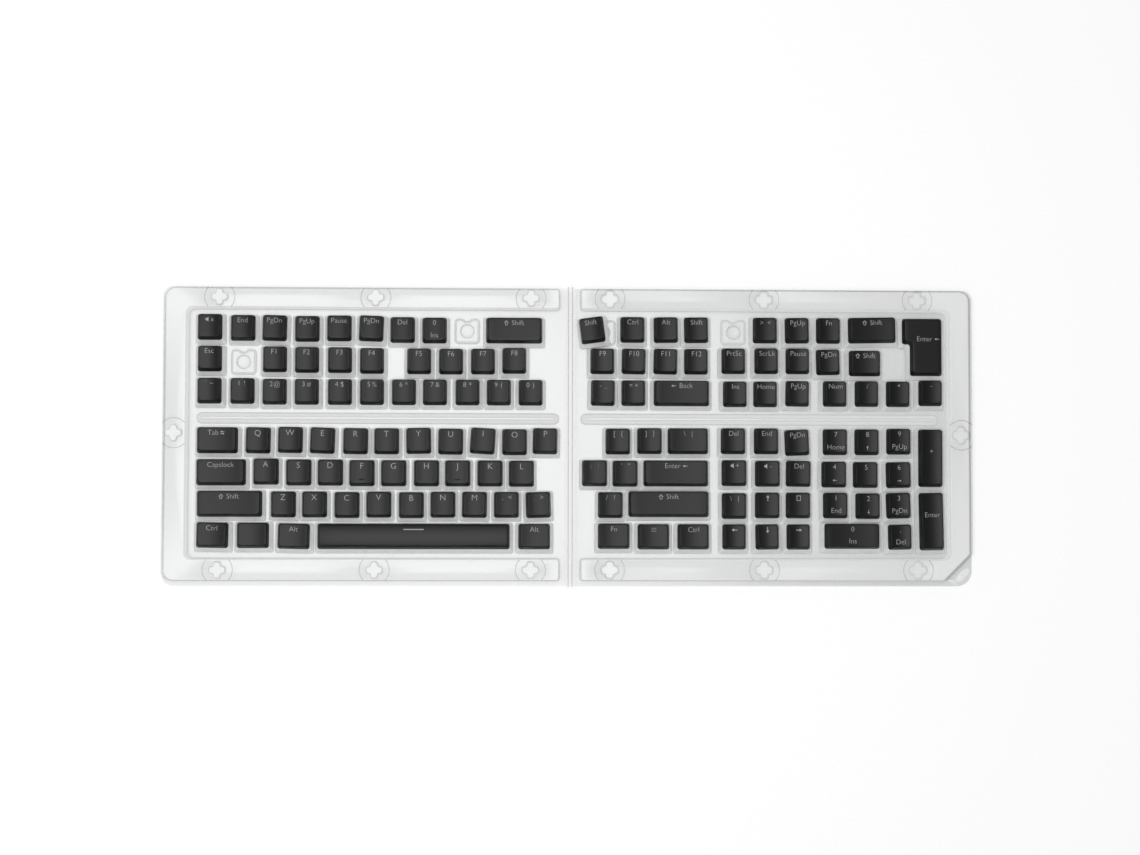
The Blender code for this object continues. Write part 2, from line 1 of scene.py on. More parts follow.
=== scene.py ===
"""Looks of a key cap set in its hinged blister tray.

Two clear pages of formed sheet lie open like a book. Floor, rim, rib, posts and snap fasteners of a page are
one continuous surface, worked out as rounded outlines carried along wall profiles. The caps are lofts of
rounded sections with a dished top, a dark shell over a milky skirt, and thin legends. Metres, in the frame of
the model.
"""
import json
import logging
import math
import re
from dataclasses import dataclass, field, replace
from enum import Enum

import bpy
import numpy as np
from bpy.types import Material, Mesh, Node, NodeSocket, NodeTree, Object
from mathutils import Matrix, Vector
from mathutils.geometry import delaunay_2d_cdt, tessellate_polygon

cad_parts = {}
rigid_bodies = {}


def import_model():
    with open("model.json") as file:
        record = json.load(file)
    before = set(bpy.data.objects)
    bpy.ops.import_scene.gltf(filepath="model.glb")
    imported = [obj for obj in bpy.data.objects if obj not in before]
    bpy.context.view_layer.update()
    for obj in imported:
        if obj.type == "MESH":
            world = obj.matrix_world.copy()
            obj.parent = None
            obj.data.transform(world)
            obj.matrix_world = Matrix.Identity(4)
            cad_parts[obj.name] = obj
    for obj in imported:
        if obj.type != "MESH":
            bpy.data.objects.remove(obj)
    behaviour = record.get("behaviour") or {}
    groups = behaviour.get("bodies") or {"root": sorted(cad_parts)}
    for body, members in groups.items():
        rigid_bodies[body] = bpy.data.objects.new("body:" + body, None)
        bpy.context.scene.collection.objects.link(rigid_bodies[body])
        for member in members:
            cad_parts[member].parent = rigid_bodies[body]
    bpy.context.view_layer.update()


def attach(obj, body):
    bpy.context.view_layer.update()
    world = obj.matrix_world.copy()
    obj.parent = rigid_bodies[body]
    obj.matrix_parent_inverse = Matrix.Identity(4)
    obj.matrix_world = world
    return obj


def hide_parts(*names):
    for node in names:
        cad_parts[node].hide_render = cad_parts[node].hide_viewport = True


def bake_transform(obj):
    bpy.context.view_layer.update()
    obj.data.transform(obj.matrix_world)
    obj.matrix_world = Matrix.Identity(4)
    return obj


LOG = logging.getLogger("tray")
Array = np.ndarray
MILLIMETRE = 0.001
SMALLEST_RADIUS = 0.00005
PAGES = {-1: "left_page", 1: "right_page"}


def linear(code: str) -> tuple[float, float, float, float]:
    """Turns an sRGB hex colour into linear light.

    Args:
        code: six hex digits.

    Returns:
        Red, green, blue and alpha.
    """
    srgb = np.array([int(code[i:i + 2], 16) for i in (0, 2, 4)]) / 255.0
    light = np.where(srgb <= 0.04045, srgb / 12.92, ((srgb + 0.055) / 1.055) ** 2.4)
    return (*(float(c) for c in light), 1.0)


def unit(vectors: Array) -> Array:
    """Rows scaled to length one."""
    return vectors / np.linalg.norm(vectors, axis=-1, keepdims=True)


def add_node(tree: NodeTree, kind: str, settings: dict | None = None, **links) -> Node:
    """Adds a node with its settings and links.

    Args:
        tree: node tree that gets the node.
        kind: node type.
        settings: properties, or values of input sockets by name.
        **links: input socket names, with underscores for spaces, to the output sockets that feed them.

    Returns:
        The new node.
    """
    node = tree.nodes.new(kind)
    for name, value in (settings or {}).items():
        if name in node.inputs:
            node.inputs[name].default_value = value
        else:
            setattr(node, name, value)
    for name, socket in links.items():
        tree.links.new(socket, node.inputs[name.replace("_", " ")])
    return node


@dataclass(frozen=True)
class Outline:
    """Closed plan outline with rounded corners, counter-clockwise.

    Attributes:
        corners: the sharp corners, a row of x and y each.
        radii: the radius of each corner.
        steps: segments in each corner's arc.
        between: points added along each straight side.
    """

    corners: Array
    radii: Array
    steps: int
    between: int = 0

    def grown(self, distance: float) -> "Outline":
        """Outline moved outwards: corners slide along their bisectors, and radii of convex corners grow.

        Args:
            distance: how far the sides move out, in metres.

        Returns:
            The moved outline, with as many points.
        """
        before = unit(self.corners - np.roll(self.corners, 1, axis=0))
        after = np.roll(before, -1, axis=0)
        normal_in = before[:, ::-1] * (1, -1)
        normal_out = after[:, ::-1] * (1, -1)
        share = 1.0 + (normal_in * normal_out).sum(axis=1, keepdims=True)
        turn = np.sign(before[:, 0] * after[:, 1] - before[:, 1] * after[:, 0])
        radii = np.maximum(self.radii + distance * turn, SMALLEST_RADIUS)
        corners = self.corners + distance * (normal_in + normal_out) / share
        return Outline(corners, radii, self.steps, self.between)

    def moved(self, x: float, y: float) -> "Outline":
        """The same outline with its centre elsewhere."""
        return Outline(self.corners + (x, y), self.radii, self.steps, self.between)

    def points(self) -> Array:
        """Points along the outline: an arc runs from where it touches one side to where it touches the next.

        Returns:
            A row of x and y for each point.
        """
        to_before = unit(np.roll(self.corners, 1, axis=0) - self.corners)
        to_after = unit(np.roll(self.corners, -1, axis=0) - self.corners)
        half = 0.5 * np.arccos(np.clip((to_before * to_after).sum(axis=1), -1.0, 1.0))
        turn = np.sign(to_after[:, 0] * to_before[:, 1] - to_after[:, 1] * to_before[:, 0])
        start = self.corners + to_before * (self.radii / np.tan(half))[:, None]
        centre = self.corners + unit(to_before + to_after) * (self.radii / np.sin(half))[:, None]
        first = np.arctan2(*(start - centre).T[::-1])
        swept = (turn * (math.pi - 2.0 * half))[:, None] * np.linspace(0.0, 1.0, self.steps + 1)
        angles = first[:, None] + swept
        round_it = np.stack([np.cos(angles), np.sin(angles)], axis=-1)
        arcs = centre[:, None] + self.radii[:, None, None] * round_it
        ends, starts = arcs[:, -1:], np.roll(arcs, -1, axis=0)[:, :1]
        share = np.linspace(0.0, 1.0, self.between + 2)[1:-1][None, :, None]
        return np.concatenate([arcs, ends + (starts - ends) * share], axis=1).reshape(-1, 2)


def full_turn(count: int) -> Array:
    """Equal angles all the way round."""
    return np.linspace(0.0, 2.0 * math.pi, count, endpoint=False)


def circle(x: float, y: float, radius: float | Array, sides: int) -> Array:
    """Points at equal angles round a centre, at one distance or at one each."""
    angles = full_turn(sides)
    return np.stack([x + radius * np.cos(angles), y + radius * np.sin(angles)], axis=1)


def at_height(points: Array, z: float | Array) -> Array:
    """Plan points raised to a height, or to one height each."""
    return np.column_stack([points, np.broadcast_to(z, len(points))])


def bezier(a: Array, b: Array, c: Array, count: int) -> Array:
    """Rows of a quadratic curve from a towards b to c, without its two ends, for whole arrays of points."""
    t = np.linspace(0.0, 1.0, count + 2)[1:-1, None, None]
    return (1 - t) ** 2 * a + 2 * t * (1 - t) * b + t ** 2 * c


@dataclass
class Surface:
    """Points and faces of one piece, with a finish number for each face."""

    points: list[Array] = field(default_factory=list)
    faces: list[Array] = field(default_factory=list)
    slots: list[Array] = field(default_factory=list)
    count: int = 0

    def add_points(self, points: Array) -> Array:
        """Adds points.

        Args:
            points: rows of x, y and z, in any array shape.

        Returns:
            Their numbers, in the same shape.
        """
        flat = points.reshape(-1, 3)
        self.points.append(flat)
        numbers = np.arange(self.count, self.count + len(flat)).reshape(points.shape[:-1])
        self.count += len(flat)
        return numbers

    def add_faces(self, faces: Array, slot: int | Array) -> None:
        """Adds faces, given as rows of point numbers, of one finish or of one finish each."""
        self.faces.append(faces)
        self.slots.append(np.broadcast_to(slot, len(faces)))

    def add_band(self, rows: Array, slot: int | Array, closed: bool = True) -> None:
        """Adds the faces between neighbouring rows of point numbers.

        Args:
            rows: point numbers, row by row.
            slot: finish number, for all or for each band between two rows.
            closed: whether each row runs all the way round.
        """
        after = np.roll(rows, -1, axis=1)
        quads = np.stack([rows[:-1], after[:-1], after[1:], rows[1:]], axis=-1)
        quads = quads if closed else quads[:, :-1]
        slots = np.repeat(np.broadcast_to(slot, len(quads)), quads.shape[1])
        self.add_faces(quads.reshape(-1, 4), slots)

    def add_loft(self, loops: Array, slot: int) -> Array:
        """Adds a surface through closed loops and returns the loops' point numbers."""
        rows = self.add_points(loops)
        self.add_band(rows, slot)
        return rows

    def add_mound(self, loops: Array, slot: int, land: int) -> Array:
        """Adds a surface through closed loops and fills the last one.

        Args:
            loops: points, loop by loop.
            slot: finish number of the surface.
            land: finish number of the filled loop.

        Returns:
            Point numbers of the first loop.
        """
        rows = self.add_loft(loops, slot)
        self.add_flat(rows[-1], [], land)
        return rows[0]

    def add_flat(self, loop: Array, holes: list[Array], slot: int, upwards: bool = True) -> None:
        """Fills a flat loop of point numbers with Delaunay triangles, leaving out the holes.

        Args:
            loop: point numbers of the outer loop.
            holes: point numbers of the loops inside it.
            slot: finish number.
            upwards: whether the face looks up.
        """
        loops = [loop, *holes]
        numbers = np.concatenate(loops)
        places = np.concatenate(self.points)[numbers, :2] / MILLIMETRE
        edges = np.split(np.arange(len(numbers)), np.cumsum([len(line) for line in loops])[:-1])
        plan = [Vector(place) for place in places]
        rings = [edge.tolist() for edge in edges]
        _, _, triangles, sources, _, owners = delaunay_2d_cdt(plan, [], rings, 1, 1e-6)
        chosen = np.array([t for t, inside in zip(triangles, owners) if inside == [0]])
        faces = np.array([source[0] for source in sources])[chosen]
        a, b, c = (places[faces[:, k]] for k in range(3))
        area = np.cross(b - a, c - a)
        flipped = area < 0 if upwards else area > 0
        faces[flipped] = faces[flipped][:, ::-1]
        self.add_faces(numbers[faces], slot)

    def add_copy(self, points: Array, faces: list[Array], slots: list[Array]) -> None:
        """Adds a ready-made shape's points and faces."""
        start = self.count
        self.add_points(points)
        self.faces += [rows + start for rows in faces]
        self.slots += slots

    @staticmethod
    def mark_open_edges(mesh: Mesh) -> None:
        """Marks each edge with one face only as sharp, so that a sheet stays flat up to its cut edge.

        Args:
            mesh: the piece's mesh.
        """
        edges = np.empty(len(mesh.loops), np.int32)
        mesh.loops.foreach_get("edge_index", edges)
        marks = np.empty(len(mesh.edges), bool)
        mesh.edges.foreach_get("use_edge_sharp", marks)
        marks |= np.bincount(edges, minlength=len(marks)) == 1
        mesh.edges.foreach_set("use_edge_sharp", marks)

    def to_object(self, name: str, materials: list[Material], sharp: float) -> Object:
        """Makes the piece's object.

        Args:
            name: name of the piece.
            materials: finishes, in the order of the finish numbers.
            sharp: angle in degrees past which an edge shows as sharp.

        Returns:
            An object at the origin, in the scene.
        """
        mesh = bpy.data.meshes.new(name)
        faces = [face for rows in self.faces for face in rows.tolist()]
        mesh.from_pydata(np.concatenate(self.points), [], faces)
        mesh.polygons.foreach_set("material_index", np.concatenate(self.slots).astype(np.int32))
        for material in materials:
            mesh.materials.append(material)
        mesh.shade_smooth()
        mesh.set_sharp_from_angle(angle=math.radians(sharp))
        self.mark_open_edges(mesh)
        mesh.update()
        thing = bpy.data.objects.new(name, mesh)
        bpy.context.scene.collection.objects.link(thing)
        return thing


WORD = re.compile(r"(\w+|\.)(?::([\d.]+))?(?:~([-\d.]+),([-\d.]+))?(?:@([-\d.]+))?")


class Top(Enum):
    """Form of a cap's top."""

    DISHED = "hollow across its width"
    CROWNED = "higher along its middle"
    LEVEL = "flat, on the L-shaped cap"


class Profile(Enum):
    """Form of a cap by its row: height, lean of the top in degrees, and the seam's side and front insets."""

    BACK = (0.0083, -1.5, 0.00172, 0.00230)
    NUMBER = (0.0089, 3.0, 0.00185, 0.00235)
    UPPER = (0.0086, 1.0, 0.00163, 0.00220)
    HOME = (0.0083, -1.5, 0.00148, 0.00220)
    LOWER = (0.0085, -3.5, 0.00158, 0.00230)
    BOTTOM = (0.0085, -3.5, 0.00192, 0.00262)


@dataclass(frozen=True)
class Key:
    """One cap or bare post of the set.

    Attributes:
        name: name of the cap, or a dot for a bare post.
        units: width in key units.
        side: -1 on the left page, 1 on the right one.
        x: centre across the tray.
        y: centre along the tray.
        turn: how far it lies turned, in degrees.
        tall: whether it is two rows deep.
        profile: height and lean.
    """

    name: str
    units: float
    side: int
    x: float
    y: float
    turn: float
    tall: bool
    profile: Profile

    @property
    def top(self) -> Top:
        """Form of the top."""
        return {"space": Top.CROWNED, "enter_iso": Top.LEVEL}.get(self.name, Top.DISHED)

    @property
    def letter(self) -> bool:
        """Whether the cap bears a single letter."""
        return len(self.name) == 1 and self.name.isalpha()

    @property
    def separate(self) -> bool:
        """Whether the cap is a node of its own: letters, the loose one and all larger than one unit."""
        return self.letter or self.name == "shift_loose" or self.tall or self.units > 1

    @property
    def bare(self) -> bool:
        """Whether the post shows: it has no cap, or its cap lies beside it."""
        return self.name in (".", "shift_loose")


@dataclass
class KeyLayout:
    """Rows of caps on both pages, from the back, as they lie in the photo.

    A word is a name, with : and a width in units, ~ and how far the cap lies off the grid in millimetres, and
    @ and its turn in degrees. A dot is a bare post, and _ a gap.
    """

    pitch: float = 0.01905
    gap: float = 0.00095
    close_gap: float = 0.0005
    rib_gap: float = 0.00985
    front: float = -0.0704
    left_edge: float = -0.223675
    pad_edge: float = 0.226575
    nav_gap: float = 0.0046
    wide_pad_units: float = 4.25
    nav_units: float = 3.0
    tall: tuple[str, ...] = ("enter_iso", "pad_plus", "pad_enter")
    back_rows: int = 3
    profiles: tuple[Profile, ...] = (Profile.BACK, Profile.NUMBER, Profile.NUMBER, Profile.UPPER,
                                     Profile.HOME, Profile.LOWER, Profile.BOTTOM)
    left_rows: tuple[str, ...] = (
        "mute~-0.6,0.5 end page_down~-0.3,0@-1.4 page_up~0,-0.4 pause page_down_b@-2 delete~-0.4,-0.8 "
        "insert~-0.4,-1 . shift_2u:2~-0.4,-0.8",
        "escape~-0.4,0.6 . f1~0,0.3 f2 f3~0.5,0 f4~0.5,-0.4 _:0.5 f5~0,-0.5 f6~0,-0.6 f7~0,-0.5 f8~-0.3,0",
        "grave~-0.5,0.5 1~0,0.4 2 3 4~0.6,0 5~0.6,0 6~0.6,0 7 8~0.4,0 9 0",
        "tab:1.5~-0.3,0 q@-0.9 w~0,0.3@-0.8 e@-2 r~0.6,-0.3@-0.8 t~0,-0.3 y@1 u~0,-0.4@-0.8 i@-3.3 "
        "o~0,-0.6 p~-0.8,0@-0.9",
        "caps_lock:1.75~-0.4,0 a~0,0.5 s~0.3,0 d f~-0.3,-0.3 g~-0.5,-0.3 h~0,-0.3 j~-0.5,-0.3 "
        "k~-0.3,-0.3 l~-0.6,-0.4",
        "shift_left:2.25~0,0.3 z~0.9,0 x~0.3,0 c~0.5,-0.3 v~0.3,0 b~0.6,-0.3 n~0.3,0 m@-0.8 comma period@1.9",
        "control_left:1.25~-0.5,0.6@-1 system:1.25~-0.3,0.5 alt_left:1.25@-1.2 space:6.25~-0.3,0 "
        "alt_right:1.25",
    )
    main_rows: tuple[str, ...] = (
        "shift_loose~0,-0.5 control_1u~-1.2,0 alt_1u~0.3,0@0.9 shift_1u@0.7",
        "f9~-0.7,0 f10~-0.5,0@-1 f11@-1.3 f12~-0.2,0",
        "minus~0.1,0@-0.8 equals~-0.2,0 backspace:2~0.6,0",
        "bracket_open~-0.4,0 bracket_close~0,0.3 backslash:1.5~-0.3,0.3",
        "semicolon quote~-0.3,-0.2 enter:2.25~-0.4,0",
        "slash~0.4,0 shift_right:2.75~0,0.6",
        "function:1.25~-0.4,0.3 menu:1.25 control_right:1.25~0.5,0",
    )
    nav_rows: tuple[str, ...] = (
        ". angle_brackets~-0.3,0 page_up_b@0.9",
        "print_screen~-0.4,0.4 scroll_lock~0.4,0.5 pause_b~0.2,0.5",
        "insert_b~0.5,-0.4 home~-0.3,-0.4 page_up_c@-1",
        "delete_b~-0.6,0.4 end_b~0.3,0.4 page_down_c~-0.2,-0.4@2.3",
        "volume_up~0,0.3 volume_down~1.1,0 delete_c~0.6,0@-0.8",
        "backslash_b~0,-0.4 arrow_up~0.9,0 copy~0.4,0",
        "arrow_left arrow_down~0.8,0@1 arrow_right~0.5,0",
    )
    pad_rows: tuple[str, ...] = (
        "function_1u~0.3,0 shift_1_75u:1.75~0.6,0.4@1 enter_iso:1.5~0,-0.2",
        "page_down_d@1.2 shift_1_25u:1.25~0.8,-0.6 _:2",
        "num_lock~-0.7,0 pad_divide~-0.5,0 pad_multiply~-0.6,0 pad_minus~0,0.6",
        "pad_7~-0.6,0 pad_8~-0.5,0 pad_9~-0.3,0.4 pad_plus",
        "pad_4~-1.3,-0.4 pad_5~-1.3,-0.6 pad_6~-0.4,-0.6@1.1 _",
        "pad_1~-0.5,0 pad_2~0,-0.3 pad_3~-0.5,0@1.7 pad_enter~0.4,0@1",
        "pad_0:2~0,0.5 pad_decimal~0.3,0@0.9 _",
    )

    def row_y(self, row: int) -> float:
        """Centre line of a row, with row 0 at the back and the rib in front of the back rows."""
        past_rib = self.rib_gap if row < self.back_rows else 0.0
        return self.front + (len(self.left_rows) - row - 0.5) * self.pitch + past_rib

    def place_row(self, text: str, edge: float, gap: float,
                  from_right: bool) -> list[tuple[str, float, Array]]:
        """Lays a row's caps side by side from one edge, and then nudges and turns them.

        Args:
            text: the row's words.
            edge: where the row starts, or ends if it is laid from the right.
            gap: space between two skirts.
            from_right: whether the row ends at the edge.

        Returns:
            Name, width in units, and centre, offset along the tray and turn of each cap.
        """
        words = [WORD.fullmatch(word).groups() for word in text.split()]
        units = np.array([float(word[1] or 1) for word in words])
        lies = np.array([[float(value or 0) for value in word[2:]] for word in words])
        widths = units * self.pitch - self.gap
        ends = np.cumsum(widths + gap)
        start = edge - (ends[-1] - gap) if from_right else edge
        lies[:, :2] *= MILLIMETRE
        lies[:, 0] += start + ends - gap - widths / 2
        placed = zip((word[0] for word in words), units.tolist(), lies)
        return [(name, wide, lie) for name, wide, lie in placed if name != "_"]

    def keys(self) -> list[Key]:
        """Works out every cap and bare post.

        Returns:
            The keys, page by page and row by row.
        """
        pad_right = self.pad_edge - self.gap / 2
        nav_right = pad_right - (self.wide_pad_units * self.pitch - self.gap) - self.close_gap
        main_right = nav_right - (self.nav_units * self.pitch - self.gap) - self.nav_gap
        blocks = ((-1, self.left_rows, self.left_edge + self.gap / 2, self.gap, False),
                  (1, self.main_rows, main_right, self.close_gap, True),
                  (1, self.nav_rows, nav_right, self.gap, True),
                  (1, self.pad_rows, pad_right, self.gap, True))
        keys = []
        for side, rows, edge, gap, from_right in blocks:
            for row, text in enumerate(rows):
                for name, units, (x, dy, turn) in self.place_row(text, edge, gap, from_right):
                    tall = name in self.tall
                    y = self.row_y(row) + dy - (self.pitch / 2 if tall else 0.0)
                    keys.append(Key(name, units, side, x, y, turn, tall, self.profiles[row]))
        return keys


@dataclass(frozen=True)
class Finish:
    """Surface of one moulding, as its shader's constant values.

    Attributes:
        name: what the material is.
        colour: sRGB hex colour.
        roughness: roughness of the gloss.
        ior: index of refraction.
    """

    name: str
    colour: str
    roughness: float
    ior: float

    def start(self, **sockets: float | tuple) -> tuple[Material, NodeTree, Node]:
        """New material with its constants set.

        Args:
            **sockets: values of further shader inputs, with underscores for spaces.

        Returns:
            The material, its node tree and its shader.
        """
        material = bpy.data.materials.new(self.name)
        material.use_nodes = True
        shader = material.node_tree.nodes["Principled BSDF"]
        constants = {"Base Color": linear(self.colour), "Roughness": self.roughness, "IOR": self.ior}
        constants |= {name.replace("_", " "): value for name, value in sockets.items()}
        for name, value in constants.items():
            shader.inputs[name].default_value = value
        return material, material.node_tree, shader


def add_noise(tree: NodeTree, size: float, detail: float = 2.0) -> NodeSocket:
    """Adds noise on object coordinates.

    Args:
        tree: the material's node tree.
        size: size of the patches in metres.
        detail: octaves of finer noise.

    Returns:
        The noise's value.
    """
    place = add_node(tree, "ShaderNodeTexCoord")
    noise = add_node(tree, "ShaderNodeTexNoise", {"Scale": 1.0 / size, "Detail": detail},
                     Vector=place.outputs["Object"])
    return noise.outputs["Fac"]


def add_tones(tree: NodeTree, shader: Node, noise: NodeSocket, low: str, high: str) -> None:
    """Lets noise mix two sRGB colours into the shader's colour.

    Args:
        tree: the material's node tree.
        shader: the material's shader.
        noise: the noise's value.
        low: colour where the noise is 0.
        high: colour where it is 1.
    """
    mixed = add_node(tree, "ShaderNodeMix", {"data_type": "RGBA"}, Factor=noise)
    first, second = [socket for socket in mixed.inputs if socket.type == "RGBA"]
    first.default_value, second.default_value = linear(low), linear(high)
    colour = next(socket for socket in mixed.outputs if socket.type == "RGBA")
    tree.links.new(colour, shader.inputs["Base Color"])


def add_bumps(tree: NodeTree, shader: Node, noise: NodeSocket, strength: float, height: float) -> None:
    """Lets noise raise bumps on the shader's surface.

    Args:
        tree: the material's node tree.
        shader: the material's shader.
        noise: the noise's value.
        strength: share of the bumps that shows.
        height: their height in metres.
    """
    bump = add_node(tree, "ShaderNodeBump", {"Strength": strength, "Distance": height}, Height=noise)
    tree.links.new(bump.outputs["Normal"], shader.inputs["Normal"])


@dataclass(frozen=True)
class ClearSheet(Finish):
    """Thermoformed PET: clear and glossy, with slow waves from forming. Its greyer look where it is seen
    edge-on is painted shade, given by a darker copy on rounded edges.
    """

    alpha: float
    gloss: float = 1.0
    wave: float = 0.030
    wave_strength: float = 0.12
    wave_height: float = 0.0006

    def material(self) -> Material:
        """The sheet's material: see-through all over, with bumps of the forming wave's length."""
        material, tree, shader = self.start(Alpha=self.alpha, Specular_IOR_Level=self.gloss)
        add_bumps(tree, shader, add_noise(tree, self.wave, 1.0), self.wave_strength, self.wave_height)
        return material


@dataclass(frozen=True)
class BlackShell(Finish):
    """Moulded black PBT: a matt, finely spark-eroded face that shows as dark grey with a soft sheen."""

    light_grain: str = "121313"
    grain: float = 0.0007
    grain_strength: float = 0.25
    grain_height: float = 0.00006
    sheen: float = 0.155

    def material(self) -> Material:
        """The shell's material: grains about 0.3 mm across in life, drawn at 0.7 mm so that they show."""
        material, tree, shader = self.start(Specular_IOR_Level=self.sheen)
        grains = add_noise(tree, self.grain)
        add_tones(tree, shader, grains, self.colour, self.light_grain)
        add_bumps(tree, shader, grains, self.grain_strength, self.grain_height)
        return material


@dataclass(frozen=True)
class MilkySkirt(Finish):
    """Moulded translucent PBT: light sinks a millimetre or two into it, so that it looks milky and even."""

    cloud: float = 0.004
    pale: str = "ecedec"
    weight: float = 0.35
    depth: float = 0.0015

    def material(self) -> Material:
        """The skirt's material: soft clouds in the melt, a few millimetres across."""
        material, tree, shader = self.start(Subsurface_Weight=self.weight, Subsurface_Radius=(1.0, 1.0, 1.0),
                                            Subsurface_Scale=self.depth)
        add_tones(tree, shader, add_noise(tree, self.cloud, 1.0), self.colour, self.pale)
        return material


@dataclass(frozen=True)
class LegendInlay(Finish):
    """The skirt's translucent plastic showing through thin slits in the shell: dull grey lines."""

    faint: str = "747474"
    patch: float = 0.0015

    def material(self) -> Material:
        """The legend's material: lines fade in and out over a millimetre or two, as thin slits do."""
        material, tree, shader = self.start()
        add_tones(tree, shader, add_noise(tree, self.patch), self.faint, self.colour)
        return material


@dataclass(frozen=True)
class PaperSweep(Finish):
    """White paper that the tray lies on: matt, with a faint fibre pattern."""

    shade: str = "fafafa"
    fibre: float = 0.002

    def material(self) -> Material:
        """The floor's material: fibres a couple of millimetres long, a shade darker."""
        material, tree, shader = self.start()
        add_tones(tree, shader, add_noise(tree, self.fibre), self.colour, self.shade)
        return material


SHELL, SKIRT, LEGEND = range(3)

SHIFTED = {"grave": "` ~", "1": "1 !", "2": "2 @", "3": "3 #", "4": "4 $", "5": "5 %", "6": "6 ^", "7": "7 &",
           "8": "8 *", "9": "9 (", "0": "0 )", "minus": "- _", "equals": "= +", "bracket_open": "[ {",
           "bracket_close": "] }", "backslash": "\\ |", "backslash_b": "\\ |", "semicolon": "; :",
           "quote": "' \"", "comma": ", <", "period": ". >", "slash": "/ ?", "angle_brackets": "> <"}
WORDS = {"end": "End", "page_down": "PgDn", "page_up": "PgUp", "pause": "Pause", "delete": "Del",
         "insert": "Ins", "shift": "Shift", "escape": "Esc", "tab": "Tab", "caps_lock": "Capslock",
         "control": "Ctrl", "alt": "Alt", "backspace": "Back", "enter": "Enter", "function": "Fn",
         "print_screen": "PrtSc", "scroll_lock": "ScrLk", "home": "Home", "num_lock": "Num",
         "pad_divide": "/", "pad_multiply": "*", "pad_minus": "-", "pad_plus": "+", "pad_enter": "Enter",
         "pad_decimal": ".", "mute": "x", "volume_up": "+", "volume_down": "-"}
LOWER_WORDS = {"pad_0": "Ins", "pad_1": "End", "pad_3": "PgDn", "pad_7": "Home", "pad_9": "PgUp",
               "pad_decimal": "Del", "insert": "Ins"}
# How far a word stands off the cap's middle, in letter sizes, where a drawn sign stands beside it.
BESIDE_MARK = {"backspace": 0.55, "enter_iso": 0.2, "enter": -0.5, "tab": -0.5, "shift": 0.5, "mute": 0.4,
               "volume_up": 0.4, "volume_down": 0.4}
ARROW = ((-1, -0.12), (0.2, -0.12), (0.2, -0.55), (1, 0), (0.2, 0.55), (0.2, 0.12), (-1, 0.12))
BAR = ((-1, -0.05), (1, -0.05), (1, 0.05), (-1, 0.05))
SPEAKER = ((-0.7, -0.4), (-0.2, -0.4), (0.5, -1.0), (0.5, 1.0), (-0.2, 0.4), (-0.7, 0.4))
CAP_ARROW = ((0, 1), (-0.95, 0.05), (-0.45, 0.05), (-0.45, -0.9), (0.45, -0.9), (0.45, 0.05), (0.95, 0.05))
CAP_ARROW_INSIDE = ((0, 0.68), (-0.5, 0.22), (-0.28, 0.22), (-0.28, -0.72), (0.28, -0.72), (0.28, 0.22),
                    (0.5, 0.22))
SHEET_OUTSIDE = ((-0.8, -1), (0.8, -1), (0.8, 1), (-0.8, 1))
SHEET_INSIDE = ((-0.6, -0.8), (0.6, -0.8), (0.6, 0.8), (-0.6, 0.8))


@dataclass(frozen=True)
class LegendMark:
    """One drawn sign of a legend, in letter sizes.

    Attributes:
        loops: its outline and any holes, in units of its size.
        size: half its length.
        x: centre across, measured from the cap's centre.
        y: centre along, measured from the line of the legend.
        turn: degrees.
        front: whether it stands at the front of the top, and not on the line of the legend.
    """

    loops: tuple
    size: float
    x: float = 0.0
    y: float = 0.0
    turn: float = 0.0
    front: bool = False


MARKS = {
    "arrow_up": [LegendMark((ARROW,), 0.4, turn=90.0)],
    "arrow_down": [LegendMark((ARROW,), 0.4, turn=-90.0)],
    "arrow_left": [LegendMark((ARROW,), 0.4, turn=180.0)],
    "arrow_right": [LegendMark((ARROW,), 0.4)],
    "pad_8": [LegendMark((ARROW,), 0.28, 0.0, 0.3, 90.0, front=True)],
    "pad_2": [LegendMark((ARROW,), 0.28, 0.0, 0.3, -90.0, front=True)],
    "pad_4": [LegendMark((ARROW,), 0.28, 0.0, 0.3, 180.0, front=True)],
    "pad_6": [LegendMark((ARROW,), 0.28, 0.0, 0.3, 0.0, front=True)],
    "tab": [LegendMark((ARROW,), 0.28, 0.77, y, turn) for y, turn in ((-0.14, 0.0), (0.14, 180.0))],
    "backspace": [LegendMark((ARROW,), 0.32, -1.15, 0.0, 180.0)],
    "enter": [LegendMark((ARROW,), 0.32, 1.25, 0.0, 180.0)],
    "enter_iso": [LegendMark((ARROW,), 0.32, 1.95, 0.0, 180.0)],
    "shift": [LegendMark((CAP_ARROW, CAP_ARROW_INSIDE), 0.36, -1.1)],
    "copy": [LegendMark((SHEET_OUTSIDE, SHEET_INSIDE), 0.36)],
    "menu": [LegendMark((BAR,), 0.36, 0.0, y) for y in (-0.22, 0.0, 0.22)],
    "space": [LegendMark((BAR,), 1.4)],
    **{name: [LegendMark((SPEAKER,), 0.34, -0.3)] for name in ("mute", "volume_up", "volume_down")},
}


@dataclass(frozen=True)
class LegendText:
    """One line of a legend.

    Attributes:
        text: what it says.
        size: letter size.
        y: centre, measured from the cap's centre.
        x: centre across.
    """

    text: str
    size: float
    y: float
    x: float = 0.0


